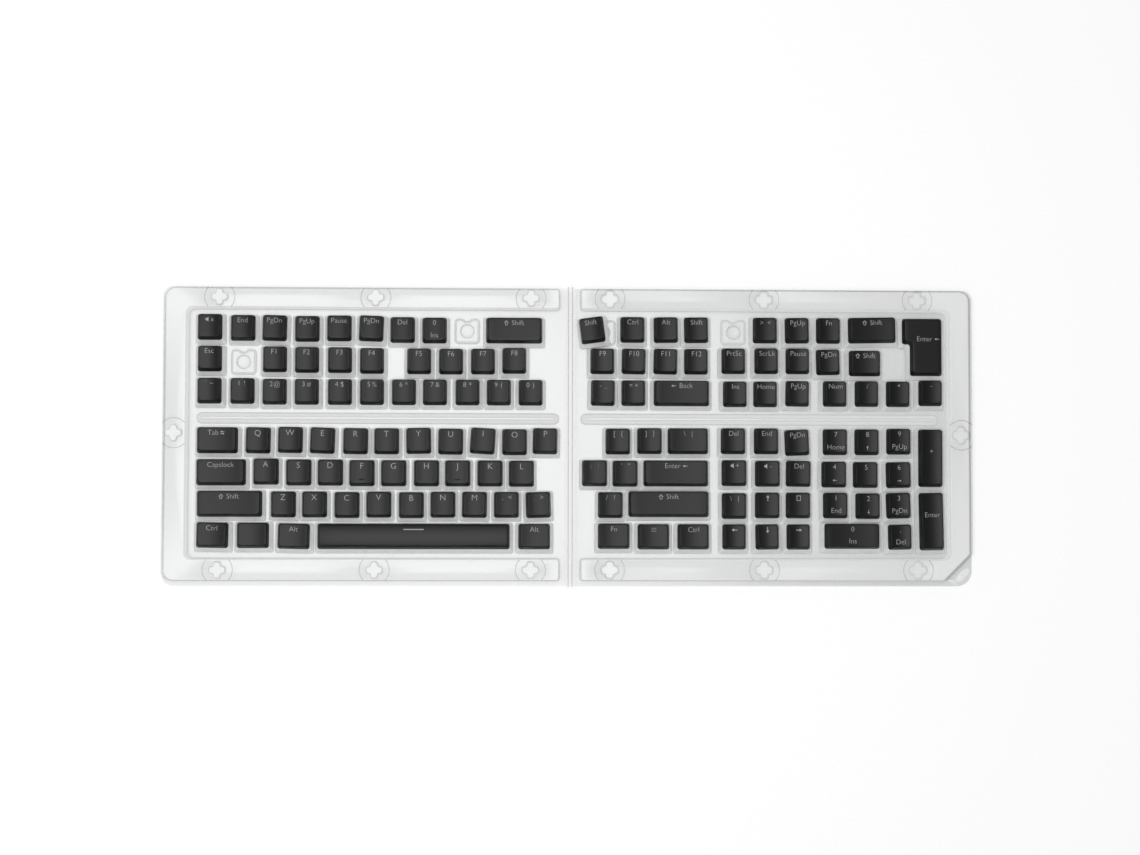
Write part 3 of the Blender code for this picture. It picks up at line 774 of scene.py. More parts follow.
@dataclass
class Caps:
    """Two-shot key caps: a milky skirt and a dark shell, hollow from below, with cross-slotted stems.

    Insets are measured inwards from the skirt's rim: side, front and back. The shell draws in from seam to
    top. The foot of the ridge is that of the solids, beside which the loose cap lies.
    """

    layout: KeyLayout
    # outside: skirt, seam, shell and top
    seam_back: float = 0.00028
    drawn_in: tuple[float, float, float] = (0.00115, 0.0015, 0.0003)
    tuck: float = 0.00008
    lip: float = 0.0002
    lip_height: float = 0.00015
    rim_radius: float = 0.0012
    hollow_radius: float = 0.0006
    seam_radius: float = 0.0016
    top_radius: float = 0.0020
    shell: float = 0.0038
    dish: float = 0.0006
    edge: float = 0.0005
    rings: tuple[float, ...] = (0.8, 0.6, 0.4, 0.2)
    corner_steps: int = 5
    side_points: int = 7
    sharp: float = 38.0
    # inside: walls, roof and stems
    wall: float = 0.0013
    roof: float = 0.0016
    stem_radius: float = 0.00275
    stem_sides: int = 16
    stem_rise: float = 0.0012
    stem_root: float = 0.0003
    slot_span: float = 0.0041
    slot_width: float = 0.0013
    slot_depth: float = 0.0038
    stabiliser: float = 0.0119
    space_stabiliser: float = 0.0500
    leg_units: float = 1.25
    # place on the tray
    seat: float = 0.0008
    sheet: float = 0.0005
    seat_gap: float = 0.0003
    post_height: float = 0.0022
    ridge_foot: float = 0.0030
    loose_turn: float = math.radians(7.4)
    # legends, in metres or in letter sizes, and homing bars
    letter_size: float = 0.0050
    word_size: float = 0.0043
    half_letter: float = 0.38
    legend_margin: float = 0.0015
    legend_lift: float = 0.00004
    stroke_trim: float = -0.016
    sign_offset: float = 0.00225
    sign_size: float = 0.96
    close_signs: float = 0.73
    tall_line: float = 1.15
    iso_drop: float = 2.1
    homing: tuple[str, ...] = ("f", "j")
    homing_place: float = -0.0028
    homing_size: tuple[float, float, float] = (0.0017, 0.00035, 0.00035)
    homing_rows: tuple[tuple[float, float], ...] = ((1.0, -0.1), (0.9, 0.5), (0.65, 0.85), (0.3, 1.0))
    shapes: dict = field(default_factory=dict)

    def size(self, key: Key) -> tuple[float, float]:
        """Width and depth of a cap at its rim."""
        pitch, gap = self.layout.pitch, self.layout.gap
        return key.units * pitch - gap, (2 if key.tall else 1) * pitch - gap

    def seam_insets(self, key: Key) -> tuple[float, float, float]:
        """Insets of the seam between skirt and shell."""
        return (*key.profile.value[2:], self.seam_back)

    def top_insets(self, key: Key) -> tuple[float, float, float]:
        """Insets of the top's edge."""
        return tuple(a + b for a, b in zip(self.seam_insets(key), self.drawn_in))

    def section(self, key: Key, insets: tuple[float, float, float], radius: float) -> Array:
        """Points of a cap's outline at the given insets.

        Args:
            key: the cap.
            insets: side, front and back.
            radius: corner radius.

        Returns:
            Plan points about the cap's centre, as many for every inset.
        """
        width, depth = self.size(key)
        side, front, back = insets
        x0, x1, y0, y1 = -width / 2 + side, width / 2 - side, -depth / 2 + front, depth / 2 - back
        corners = [(x0, y0), (x1, y0), (x1, y1), (x0, y1)]
        if key.top is Top.LEVEL:
            pitch, gap = self.layout.pitch, self.layout.gap
            step_x = width / 2 - (self.leg_units * pitch - gap) + side
            step_y = depth / 2 - (pitch - gap) + front
            corners = [*corners[1:], (x0, step_y), (step_x, step_y), (step_x, y0)]
        radii = np.full(len(corners), radius)
        return Outline(np.array(corners), radii, self.corner_steps, self.side_points).points()

    def top_height(self, key: Key, points: Array) -> Array:
        """Height of a cap's top over plan points.

        A dished top falls from its two sides to its middle, as a parabola across. A crowned one falls from
        its middle line to its front and back edges. Both lean with the row.

        Args:
            key: the cap.
            points: plan points about the cap's centre.

        Returns:
            Heights above the rim.
        """
        height, lean = key.profile.value[:2]
        width, depth = self.size(key)
        side, front, back = self.top_insets(key)
        if key.top is Top.LEVEL:
            return np.full(len(points), height - self.dish)
        across = points[:, 0] / (width / 2 - side)
        middle, half = (front - back) / 2, (depth - front - back) / 2
        along = (points[:, 1] - middle) / half
        fall = 1.0 - across ** 2 if key.top is Top.DISHED else along ** 2
        return height + math.tan(math.radians(lean)) * points[:, 1] - self.dish * fall

    def leg_x(self, key: Key) -> float:
        """How far a cap's stems stand off its middle: on the L-shaped cap they stand in its long leg."""
        return (key.units - self.leg_units) / 2 * self.layout.pitch if key.top is Top.LEVEL else 0.0

    def stems(self, key: Key) -> list[tuple[float, float]]:
        """Centres of a cap's stems: one, or three on caps of two units and more."""
        if key.tall:
            return [(self.leg_x(key), dy) for dy in (-self.stabiliser, 0.0, self.stabiliser)]
        if key.units < 2:
            return [(0.0, 0.0)]
        offset = self.space_stabiliser if key.top is Top.CROWNED else self.stabiliser
        return [(dx, 0.0) for dx in (-offset, 0.0, offset)]

    def cross(self, x: float, y: float) -> Array:
        """Outline of a stem's cross slot: one corner of the cross, turned by quarter turns."""
        long, short = self.slot_span / 2, self.slot_width / 2
        corner = np.array([(long, -short), (long, short), (short, short)])
        turns = np.arange(4) * math.pi / 2
        spin = np.stack([np.stack([np.cos(turns), np.sin(turns)], -1),
                         np.stack([-np.sin(turns), np.cos(turns)], -1)], axis=1)
        return (corner @ spin).reshape(-1, 2) + (x, y)

    def add_outside(self, surface: Surface, key: Key) -> Array:
        """Adds skirt, shell and top: sections at the rim, the seam and the top's edge, and a rounded edge.

        The rounded edge is a quadratic curve from the wall to the top. The top is the edge's outline, drawn
        in to the centre ring by ring, with the height that its form gives.

        Args:
            surface: gets the faces.
            key: the cap.

        Returns:
            Point numbers of the lowest loop.
        """
        height = key.profile.value[0]
        rim = self.section(key, (0.0, 0.0, 0.0), self.rim_radius)
        seam = self.section(key, self.seam_insets(key), self.seam_radius)
        tucked = self.section(key, tuple(i + self.tuck for i in self.seam_insets(key)), self.seam_radius)
        brow = self.section(key, self.top_insets(key), self.top_radius)
        seam_z = height - self.shell
        lip = rim * (1.0 - self.lip / np.abs(rim).max())
        skirt = np.stack([at_height(lip, 0.0), at_height(rim, self.lip_height),
                          at_height(rim + (seam - rim) * 0.5, seam_z * 0.5), at_height(tucked, seam_z)])
        rows = surface.add_loft(skirt, SKIRT)
        low, edge = at_height(seam, seam_z), at_height(brow, self.top_height(key, brow))
        steep = edge + (low - edge) * (self.edge / self.shell)
        centre = self.top_centre(key)
        reach = np.linalg.norm(brow - centre, axis=1, keepdims=True)
        inner = centre + (brow - centre) * (1.0 - self.edge / reach)
        flat = at_height(inner, self.top_height(key, inner))
        rounded = bezier(steep[None], edge[None], flat[None], 4)
        shrink = np.array(self.rings)[:, None, None]
        rings = (centre + (inner - centre) * shrink).reshape(-1, 2)
        top = at_height(rings, self.top_height(key, rings)).reshape(len(shrink), -1, 3)
        loops = np.concatenate([low[None], steep[None], rounded, flat[None], top])
        upper = surface.add_loft(loops, SHELL)
        surface.add_band(np.stack([rows[-1], upper[0]]), SHELL)
        middle = surface.add_points(at_height(centre[None], self.top_height(key, centre[None])))
        last = upper[-1]
        fan = np.stack([last, np.roll(last, -1), np.broadcast_to(middle, last.shape)], axis=1)
        surface.add_faces(fan, SHELL)
        return rows[0]

    def top_centre(self, key: Key) -> Array:
        """Point that a top's rings draw in to: the middle, or on the L-shaped cap one that sees all edges."""
        width, depth = self.size(key)
        _, front, back = self.top_insets(key)
        pitch = self.layout.pitch
        if key.top is Top.LEVEL:
            return np.array([width / 2 - self.leg_units * pitch / 2, depth / 2 - pitch / 2])
        return np.array([0.0, (front - back) / 2])

    def add_inside(self, surface: Surface, key: Key, rim: Array) -> None:
        """Adds the hollow, the rim's outline drawn in by the wall up to the roof, and the stems rooted in it.

        Args:
            surface: gets the faces.
            key: the cap.
            rim: point numbers of the skirt's lowest loop.
        """
        height, lean = key.profile.value[:2]
        leaning = abs(math.tan(math.radians(lean))) * self.layout.pitch / 4
        ceiling = height - self.dish - self.roof - leaning
        share = (ceiling - (height - self.shell)) / self.shell
        insets = zip(self.seam_insets(key), self.top_insets(key))
        upper = tuple(a + (b - a) * share + self.wall for a, b in insets)
        mouth = self.section(key, (self.wall,) * 3, self.hollow_radius)
        roof = self.section(key, upper, self.hollow_radius)
        rows = surface.add_points(np.stack([at_height(mouth, 0.0), at_height(roof, ceiling)]))
        surface.add_band(np.stack([rows[0], rim]), SKIRT)
        surface.add_band(rows[::-1], SKIRT)
        surface.add_flat(rows[1], [], SKIRT, upwards=False)
        for x, y in self.stems(key):
            ring, slot = circle(x, y, self.stem_radius, self.stem_sides), self.cross(x, y)
            stem = surface.add_points(np.stack([at_height(ring, ceiling + self.stem_root),
                                                at_height(ring, self.stem_rise)]))
            surface.add_band(stem[::-1], SKIRT)
            cut = surface.add_points(np.stack([at_height(slot, self.stem_rise),
                                               at_height(slot, self.stem_rise + self.slot_depth)]))
            surface.add_band(cut[::-1], SKIRT)
            surface.add_flat(stem[1], [cut[0]], SKIRT, upwards=False)
            surface.add_flat(cut[1], [], SKIRT, upwards=False)

    def shape(self, key: Key) -> tuple[Array, list[Array], list[Array]]:
        """Points, faces and finish numbers of a cap at the origin, kept for caps of the same form."""
        form = (key.units, key.tall, key.top, key.profile)
        if form not in self.shapes:
            surface = Surface()
            self.add_inside(surface, key, self.add_outside(surface, key))
            self.shapes[form] = (np.concatenate(surface.points), surface.faces, surface.slots)
        return self.shapes[form]

    def place(self, key: Key) -> Matrix:
        """Place of a cap: over its post, or for the loose one turned and leaning on its post by the ridge."""
        if key.name != "shift_loose":
            turned = Matrix.Rotation(math.radians(key.turn), 4, "Z")
            return Matrix.Translation((key.x, key.y, self.seat)) @ turned
        half = self.size(key)[0] / 2
        reach = half * (math.cos(self.loose_turn) + math.sin(self.loose_turn))
        tilt = math.atan2(self.post_height + self.seat_gap, 2 * half - self.wall)
        turned = Matrix.Rotation(-tilt, 4, "Y") @ Matrix.Rotation(self.loose_turn, 4, "Z")
        corners = [Vector((sx * half, sy * half, 0.0)) for sx in (-1, 1) for sy in (-1, 1)]
        lowest = min((turned @ corner).z for corner in corners)
        beside = self.ridge_foot + self.sheet + self.seat_gap + reach
        return Matrix.Translation((beside, key.y, self.seat - lowest)) @ turned

    def legend_lines(self, key: Key) -> tuple[float, float]:
        """Centre line of a cap's legend, by the top's back edge, and the margin at the top's front edge."""
        _, depth = self.size(key)
        _, front, back = self.top_insets(key)
        high = depth / 2 - back - self.legend_margin - self.word_size * self.half_letter
        return high, -depth / 2 + front + self.legend_margin

    def legends(self, key: Key) -> list[LegendText]:
        """Lines of text on a cap, near the back edge of its top or, on the tall ones, in the middle."""
        size, name = self.word_size, key.name
        high, front = self.legend_lines(key)
        if key.letter:
            y = high + (size - self.letter_size) * self.half_letter
            return [LegendText(name.upper(), self.letter_size, y)]
        if name in SHIFTED:
            apart = self.sign_offset * (self.close_signs if key.profile is Profile.NUMBER else 1.0)
            signs = zip((-apart, apart), SHIFTED[name].split())
            return [LegendText(sign, size * self.sign_size, high, x) for x, sign in signs]
        low = front + size * self.half_letter
        lower = [LegendText(LOWER_WORDS[name], size, low)] if name in LOWER_WORDS else []
        if name == "insert" or name.startswith("pad_") and name[4:].isdigit():
            return [LegendText("0" if name == "insert" else name[4:], size, high), *lower]
        words = [word for stem, word in WORDS.items() if name == stem or name.startswith(stem + "_")]
        word = name.upper() if name[0] == "f" and name[1:].isdigit() else (words or [""])[-1]
        x = size * BESIDE_MARK.get(self.mark_name(key), 0.0)
        y = high - (size * self.iso_drop if key.top is Top.LEVEL else 0.0)
        y = size * self.tall_line if key.tall and key.top is Top.DISHED else y
        return ([LegendText(word, size, y, x)] if word else []) + lower

    @staticmethod
    def mark_name(key: Key) -> str:
        """Name that a cap's drawn signs go by: the wide shift keys share theirs."""
        return "shift" if key.name.startswith("shift") and key.units > 1 else key.name

    def marks(self, key: Key) -> list[LegendMark]:
        """Drawn signs on a cap, in metres from its centre."""
        size, (high, front) = self.word_size, self.legend_lines(key)
        high -= size * self.iso_drop if key.top is Top.LEVEL else 0.0
        return [replace(mark, size=size * mark.size, x=size * mark.x,
                        y=(front if mark.front else high) + size * mark.y)
                for mark in MARKS.get(self.mark_name(key), [])]

    def mark_mesh(self, mark: LegendMark) -> tuple[Array, Array]:
        """Points and triangles of a drawn sign, turned and in its place."""
        a = math.radians(mark.turn)
        turn = np.array([(math.cos(a), math.sin(a)), (-math.sin(a), math.cos(a))])
        loops = [np.array(loop) * mark.size @ turn + (mark.x, mark.y) for loop in mark.loops]
        faces = tessellate_polygon([[Vector((*point, 0.0)) for point in loop] for loop in loops])
        return np.concatenate(loops), np.array(faces)

    def letter_meshes(self, keys: list[Key]) -> dict[str, list[tuple[Array, Array]]]:
        """Letters of every legend as flat meshes, all worked out in one pass.

        Args:
            keys: the caps.

        Returns:
            Points and triangles of each line of text, by the cap's name.
        """
        lines, meshes = [], {}
        for key in keys:
            for line in self.legends(key):
                curve = bpy.data.curves.new(f"legend {key.name}", "FONT")
                curve.body, curve.size = line.text, line.size
                curve.align_x = curve.align_y = "CENTER"
                curve.offset, curve.resolution_u = self.stroke_trim * line.size, 3
                thing = bpy.data.objects.new(curve.name, curve)
                bpy.context.scene.collection.objects.link(thing)
                lines.append((key, line, thing))
        graph = bpy.context.evaluated_depsgraph_get()
        for key, line, thing in lines:
            mesh = bpy.data.meshes.new_from_object(thing.evaluated_get(graph))
            mesh.calc_loop_triangles()
            points = np.empty(len(mesh.vertices) * 3)
            mesh.vertices.foreach_get("co", points)
            faces = np.empty(len(mesh.loop_triangles) * 3, dtype=np.int32)
            mesh.loop_triangles.foreach_get("vertices", faces)
            plan = points.reshape(-1, 3)[:, :2] + (line.x, line.y)
            meshes.setdefault(key.name, []).append((plan, faces.reshape(-1, 3)))
            curve = thing.data
            bpy.data.objects.remove(thing)
            bpy.data.curves.remove(curve)
            bpy.data.meshes.remove(mesh)
        return meshes

    def add_legend(self, surface: Surface, key: Key, plan: Array, faces: Array) -> None:
        """Lays a flat legend on the top's form, a hair above it, facing up."""
        a, b, c = (plan[faces[:, k]] for k in range(3))
        down = np.cross(b - a, c - a) < 0
        faces[down] = faces[down][:, ::-1]
        points = at_height(plan, self.top_height(key, plan) + self.legend_lift)
        surface.add_copy(points, [faces], [np.full(len(faces), LEGEND)])

    def add_homing_bar(self, surface: Surface, key: Key) -> None:
        """Adds the low bar that a finger finds: an oval with blunt ends, drawn in as it rises."""
        long, wide, rise = self.homing_size
        turns = full_turn(24)
        reach = np.sign(np.cos(turns)) * np.abs(np.cos(turns)) ** 0.5
        steps = np.array(self.homing_rows)
        drawn_in = (1.0 - steps[:, :1]) * wide
        x, y = reach * (long - drawn_in), np.sin(turns) * (wide - drawn_in) + self.homing_place
        plan = np.stack([x, y], axis=-1).reshape(-1, 2)
        z = self.top_height(key, plan) + np.repeat(steps[:, 1] * rise, len(turns))
        surface.add_mound(at_height(plan, z).reshape(len(steps), -1, 3), SHELL, SHELL)

    def build(self, keys: list[Key], materials: list[Material]) -> None:
        """Builds every cap. Separate ones stand for their nodes, and the others ride on their page.

        Args:
            keys: the caps and bare posts.
            materials: shell, skirt and legend.
        """
        caps = [key for key in keys if key.name != "."]
        letters = self.letter_meshes(caps)
        for key in caps:
            surface = Surface()
            surface.add_copy(*self.shape(key))
            if key.name in self.homing:
                self.add_homing_bar(surface, key)
            for plan, faces in letters.get(key.name, []):
                self.add_legend(surface, key, plan, faces)
            for mark in self.marks(key):
                self.add_legend(surface, key, *self.mark_mesh(mark))
            name = f"cap_{key.name}" if key.separate else f"plain_cap_{key.name}"
            thing = surface.to_object(f"{name}_look" if key.separate else name, materials, self.sharp)
            thing.data.transform(self.place(key))
            page = PAGES[key.side]
            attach(thing, name if key.separate else page)
            if key.separate:
                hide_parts(name)
        LOG.info("caps: %d, of %d forms", len(caps), len(self.shapes))


STRIP, WALL, FLOOR, EDGE, FOLD = range(5)


@dataclass
class TrayPages:
    """The two pages of formed sheet. Walls are outlines moved outwards along a profile with rounded ends."""

    layout: KeyLayout
    caps: Caps
    # sheet, its rim and thumb tab
    half_width: float = 0.242975
    depth: float = 0.1788
    sheet: float = 0.0005
    rim_top: float = 0.0105
    draft: float = 0.0004
    strip_front: float = 0.0126
    strip_back: float = 0.0121
    strip_side: float = 0.0136
    lip_front: float = 0.0036
    lip_back: float = 0.0010
    lip_side: float = 0.0014
    corner_radius: float = 0.0070
    recess_radius: float = 0.0038
    strip_end: float = 0.0066
    strip_end_radius: float = 0.0015
    tab_cut: float = 0.0158
    tab_radius: float = 0.0092
    tab_corner: float = 0.003
    grip_inset: tuple[float, float] = (0.0056, 0.0066)
    grip_half: tuple[float, float] = (0.0058, 0.0024)
    grip_rows: tuple[tuple[float, float], ...] = ((1.0, 0.0), (0.93, 0.0004), (0.85, 0.0008), (0.7, 0.0011),
                                                  (0.4, 0.0012), (0.1, 0.0012))
    # rib and posts
    rib_height: float = 0.0040
    rib_foot: float = 0.0064
    rib_land: float = 0.0016
    rib_margin: float = 0.0052
    rib_roundness: float = 0.99
    post_foot: float = 0.0150
    post_top: float = 0.0128
    post_height: float = 0.0022
    post_bore: float = 0.0039
    post_round: float = 0.0003
    post_corner: float = 0.0012
    bore_floor: float = 0.0002
    bore_roundness: float = 0.98
    stem_clearance: float = 0.0003
    notch_width: float = 0.0066
    notch_depth: float = 0.0014
    notch_corner: float = 0.0008
    # snap fasteners and the lines round them
    snap_first: float = 0.0236
    snap_step: float = 0.0924
    snap_radius: float = 0.0050
    snap_notch: float = 0.0016
    snap_sides: int = 64
    snap_draft: float = 0.00025
    snap_round: float = 0.00015
    snap_height: float = 0.0020
    snap_clearance: float = 0.00008
    pad_radius: float = 0.0089
    pad_bead: float = 0.0003
    pad_bead_height: float = 0.00012
    # ridge beside the fold, and the hinge
    ridge_crest: float = 0.0013
    ridge_foot: float = 0.0035
    ridge_steps: int = 15
    crest_share: float = 0.9
    axis_z: float = 0.01065
    bead_radius: float = 0.0009
    bead_steps: int = 20
    hinge_rows: int = 24
    # rounding of edges, thickness as a share of the sheet's, and angles of sharp edges
    top_round: float = 0.0004
    foot_round: float = 0.0003
    hold: float = 0.0001
    page_share: float = 0.9
    hinge_share: float = 0.5
    page_sharp: float = 50.0
    hinge_sharp: float = 60.0

    @property
    def front(self) -> float:
        """Front edge of the recess."""
        return -self.depth / 2 + self.lip_front + self.strip_front

    @property
    def back(self) -> float:
        """Back edge of the recess."""
        return self.depth / 2 - self.lip_back - self.strip_back

    @property
    def wall_x(self) -> float:
        """Side edge of the recess."""
        return self.half_width - self.lip_side - self.strip_side

    @staticmethod
    def mirrored(corners: list[tuple[float, float]], radii: list[float], side: int) -> Outline:
        """Outline for a page: as given on the right one, mirrored and reversed on the left one."""
        return Outline(np.array(corners)[::side] * (side, 1), np.array(radii)[::side], steps=6)

    def rim_outline(self, side: int) -> Outline:
        """C-shaped plan of the rim's top, open to the hinge. The right one is cut off at the thumb tab."""
        end, tip, inner = self.strip_end, self.strip_end_radius, self.recess_radius
        x = self.wall_x + self.strip_side
        y0, y1 = self.front - self.strip_front, self.back + self.strip_back
        outer = self.corner_radius - self.lip_side
        corner, corner_radii = [(x, y0)], [outer]
        if side > 0:
            corner = [(x - self.tab_cut, y0), (x, y0 + self.tab_cut)]
            corner_radii = [self.tab_corner] * 2
        corners = [(end, y0), *corner, (x, y1), (end, y1), (end, self.back), (self.wall_x, self.back),
                   (self.wall_x, self.front), (end, self.front)]
        return self.mirrored(corners, [tip, *corner_radii, outer, tip, tip, inner, inner, tip], side)

    def wall_profile(self, height: float, draft: float, top_round: float) -> Array:
        """Rows of outward offset and height from a plateau down a wall to the floor, with rounded ends.

        Args:
            height: height of the plateau above the floor.
            draft: how far the wall's foot stands out from its top.
            top_round: radius of the plateau's edge.

        Returns:
            Offsets and heights, from the plateau outwards.
        """
        r, f, z0, z1 = top_round, self.foot_round, self.sheet, self.sheet + height
        lean = draft / height
        brow, low = (lean * r, z1 - r), (draft - lean * f, z0 + f)
        top = bezier(*(np.array([[p]]) for p in ((-r, z1), (0.0, z1), brow)), 3)
        foot = bezier(*(np.array([[p]]) for p in (low, (draft, z0), (draft + f, z0))), 2)
        rows = [(-r - self.hold, z1), (-r, z1), *top[:, 0], brow, low, *foot[:, 0], (draft + f, z0),
                (draft + f + self.hold, z0)]
        return np.array([np.ravel(row) for row in rows])

    def add_wall(self, surface: Surface, outline: Outline, profile: Array, land: int) -> tuple[Array, Array]:
        """Adds a wall round an outline.

        Args:
            surface: gets the faces.
            outline: plan of the wall's top edge.
            profile: outward offsets and heights.
            land: finish of the plateau.

        Returns:
            Point numbers of the plateau's edge and of the wall's foot.
        """
        loops = [at_height(outline.grown(offset).points(), z) for offset, z in profile]
        rows = surface.add_points(np.stack(loops))
        # Rounded rows take the edge finish, whose darker grey is painted shade; the plateau and floor rows
        # take their own finishes.
        slots = np.full(len(rows) - 1, EDGE)
        slots[0], slots[-1] = FLOOR, land
        slots[np.diff(profile[::-1, 1]).argmax()] = WALL
        surface.add_band(rows[::-1], slots)
        return rows[0], rows[-1]

    def snap_places(self, side: int) -> list[tuple[float, float]]:
        """Centres of a page's seven snap fasteners."""
        y0, y1 = self.front - self.strip_front / 2, self.back + self.strip_back / 2
        places = [(self.snap_first + self.snap_step * i, y) for i in range(3) for y in (y0, y1)]
        places.append((self.wall_x + self.strip_side / 2, (y0 + y1) / 2))
        return [(side * x, y) for x, y in places]

    def flower(self, x: float, y: float, grow: float) -> Array:
        """Snap outline: a circle with four rounded notches on its diagonals, as in a blunt cross."""
        notch = (0.5 - 0.5 * np.cos(4.0 * full_turn(self.snap_sides))) ** 3
        return circle(x, y, self.snap_radius + grow - self.snap_notch * notch, self.snap_sides)

    def add_snap(self, surface: Surface, side: int, x: float, y: float) -> Array:
        """Adds a stud on the left page or a socket on the right one, and returns the loop it leaves."""
        clear = 0.0 if side < 0 else self.snap_clearance
        d, r, z = self.snap_draft + clear, self.snap_round, self.rim_top
        rise = -side * r
        end = z - side * (self.snap_height + clear)
        rows = [(d + r, z), (d + r / 4, z + rise / 4), (d, z + rise), (-d / 2, end - rise),
                (-d / 2 - r / 4, end - rise / 4), (-d / 2 - r, end), (-d / 2 - 2 * r, end)]
        loops = np.stack([at_height(self.flower(x, y, grow), height) for grow, height in rows])
        # The snap's sides take the edge finish, painted dark lines.
        return surface.add_mound(loops, EDGE, STRIP)

    def add_pad_line(self, surface: Surface, x: float, y: float, half_strip: float, upright: bool) -> None:
        """Adds the fine bead round a snap: two low arched lines that stop at the strip's edges.

        Args:
            surface: gets the faces.
            x: the snap's centre across.
            y: the snap's centre along.
            half_strip: half the strip's width.
            upright: whether the strip runs along the page's side.
        """
        reach = math.asin(min(1.0, (half_strip - self.top_round / 2) / self.pad_radius))
        across = np.linspace(-1.0, 1.0, 5)[:, None]
        radius = self.pad_radius + across * self.pad_bead
        height = self.rim_top + self.pad_bead_height * (1.0 - across ** 2)
        for start in (0.0, math.pi):
            angles = start + (math.pi / 2 if upright else 0.0) + np.linspace(-reach, reach, 20)
            grid = np.broadcast_arrays(x + radius * np.cos(angles), y + radius * np.sin(angles), height)
            # The bead takes the edge finish, painted dark lines.
            surface.add_band(surface.add_points(np.stack(grid, axis=-1))[::-1], EDGE, closed=False)

    def rib_outline(self, side: int) -> Outline:
        """Plan of the middle rib's land, with round ends."""
        middle = (self.layout.row_y(2) + self.layout.row_y(3)) / 2
        inset, half = (self.rib_foot - self.rib_land) / 2, self.rib_land / 2
        x0, x1 = self.strip_end + inset, self.wall_x - self.rib_margin - inset
        corners = [(x0, middle - half), (x1, middle - half), (x1, middle + half), (x0, middle + half)]
        return self.mirrored(corners, [half * self.rib_roundness] * 4, side)

    def post_outline(self, key: Key) -> Outline:
        """Plan of a post's top. A wide cap has a wide post, and a post that shows has a notch at the back."""
        pitch, middle = self.layout.pitch, self.caps.leg_x(key)
        extra = (self.caps.leg_units if key.top is Top.LEVEL else key.units) - 1
        half_x = (self.post_top + extra * pitch) / 2
        half_y = (self.post_top + (pitch if key.tall else 0.0)) / 2
        corners = [(middle - half_x, -half_y), (middle + half_x, -half_y), (middle + half_x, half_y)]
        if key.bare:
            w, d = self.notch_width / 2, self.notch_depth
            corners += [(w, half_y), (w / 2, half_y - d), (-w / 2, half_y - d), (-w, half_y)]
        corners.append((middle - half_x, half_y))
        radii = np.full(len(corners), self.post_corner)
        radii[3:-1] = self.notch_corner
        return Outline(np.array(corners), radii, 4).moved(key.x, key.y)

    def add_post(self, surface: Surface, key: Key) -> Array:
        """Adds a post with its stem recess, and returns the loop it leaves in the floor."""
        profile = self.wall_profile(self.post_height, (self.post_foot - self.post_top) / 2, self.post_round)
        land, foot = self.add_wall(surface, self.post_outline(key), profile, FLOOR)
        stems = np.array(self.caps.stems(key)) + (key.x, key.y)
        (x0, y0), (x1, y1) = stems.min(axis=0), stems.max(axis=0)
        bore = self.post_bore if key.bare else self.caps.stem_radius + self.stem_clearance
        r = self.foot_round / 2
        x0, y0, x1, y1 = x0 - bore, y0 - bore, x1 + bore, y1 + bore
        corners = np.array([(x0, y0), (x1, y0), (x1, y1), (x0, y1)])
        hole = Outline(corners, np.full(4, bore * self.bore_roundness), steps=6)
        top, low = self.sheet + self.post_height, self.sheet + self.bore_floor
        rows = [(2 * r, top), (r, top), (r / 4, top - r / 4), (0.0, top - r), (-r, low), (-2 * r, low)]
        loops = [at_height(hole.grown(grow).points(), z) for grow, z in rows]
        # The bore's rounded sides take the edge finish, painted dark lines.
        surface.add_flat(land, [surface.add_mound(np.stack(loops), EDGE, FLOOR)], FLOOR)
        return foot

    def add_tab_grip(self, surface: Surface) -> Array:
        """Adds the thumb tab's oval grip, a low mound along the cut corner, and returns its lowest loop."""
        x, y = self.half_width - self.grip_inset[0], -self.depth / 2 + self.grip_inset[1]
        long, short = (circle(0.0, 0.0, 1.0, 40) * self.grip_half).T
        plan = np.stack([(long - short), (long + short)], axis=1) * math.sqrt(0.5)
        loops = [at_height(plan * share + (x, y), self.sheet + rise) for share, rise in self.grip_rows]
        return surface.add_mound(np.stack(loops), WALL, FLOOR)

    def add_floor(self, surface: Surface, side: int, holes: list[Array]) -> None:
        """Adds the floor round all that rises from it, and the slope up to the hinge.

        The slope is half a cosine wave. A narrow level row at its foot keeps the floor's shading flat.

        Args:
            surface: gets the faces.
            side: -1 for the left page, 1 for the right one.
            holes: loops that walls, posts and the rib leave in the floor.
        """
        half, start = self.depth / 2, self.ridge_foot + self.hold
        share = np.linspace(0.0, 1.0, self.ridge_steps)
        x = side * np.append(start, self.ridge_foot + (self.ridge_crest - self.ridge_foot) * share)
        rise = 0.5 * (1.0 - np.cos(math.pi * np.append(0.0, share)))
        z = self.sheet + (self.rim_top - self.sheet) * rise
        slope = [np.column_stack([x, np.full(len(x), y), z]) for y in (-half, half)]
        rows = surface.add_points(np.stack(slope, axis=1))
        # Near the crest the slope takes the edge finish, painted dark lines; lower down it takes the fold's
        # clearer finish, painted lighter.
        slots = np.where(share > self.crest_share, EDGE, FOLD)
        surface.add_band(rows[::side], slots[::side], closed=False)
        near, far, steps, square = side * start, side * self.half_width, 8, 1e-6
        front_radius = self.tab_radius if side > 0 else self.corner_radius
        corners = np.array([(near, -half), (far, -half), (far, half), (near, half)])
        radii = np.array([square, front_radius, self.corner_radius, square])
        box = Outline(corners[::side], radii[::side], steps).points().reshape(4, steps + 1, 2)
        arcs = surface.add_points(at_height(box[1:3].reshape(-1, 2), self.sheet))
        ends = rows[0] if side < 0 else rows[0][::-1]
        surface.add_flat(np.concatenate([arcs, ends]), holes, FLOOR)

    def thicken(self, thing: Object, share: float) -> None:
        """Gives a sheet its thickness, below its faces, as a share of the formed sheet's."""
        thickness = thing.modifiers.new("sheet thickness", "SOLIDIFY")
        thickness.thickness, thickness.offset = self.sheet * share, -1.0

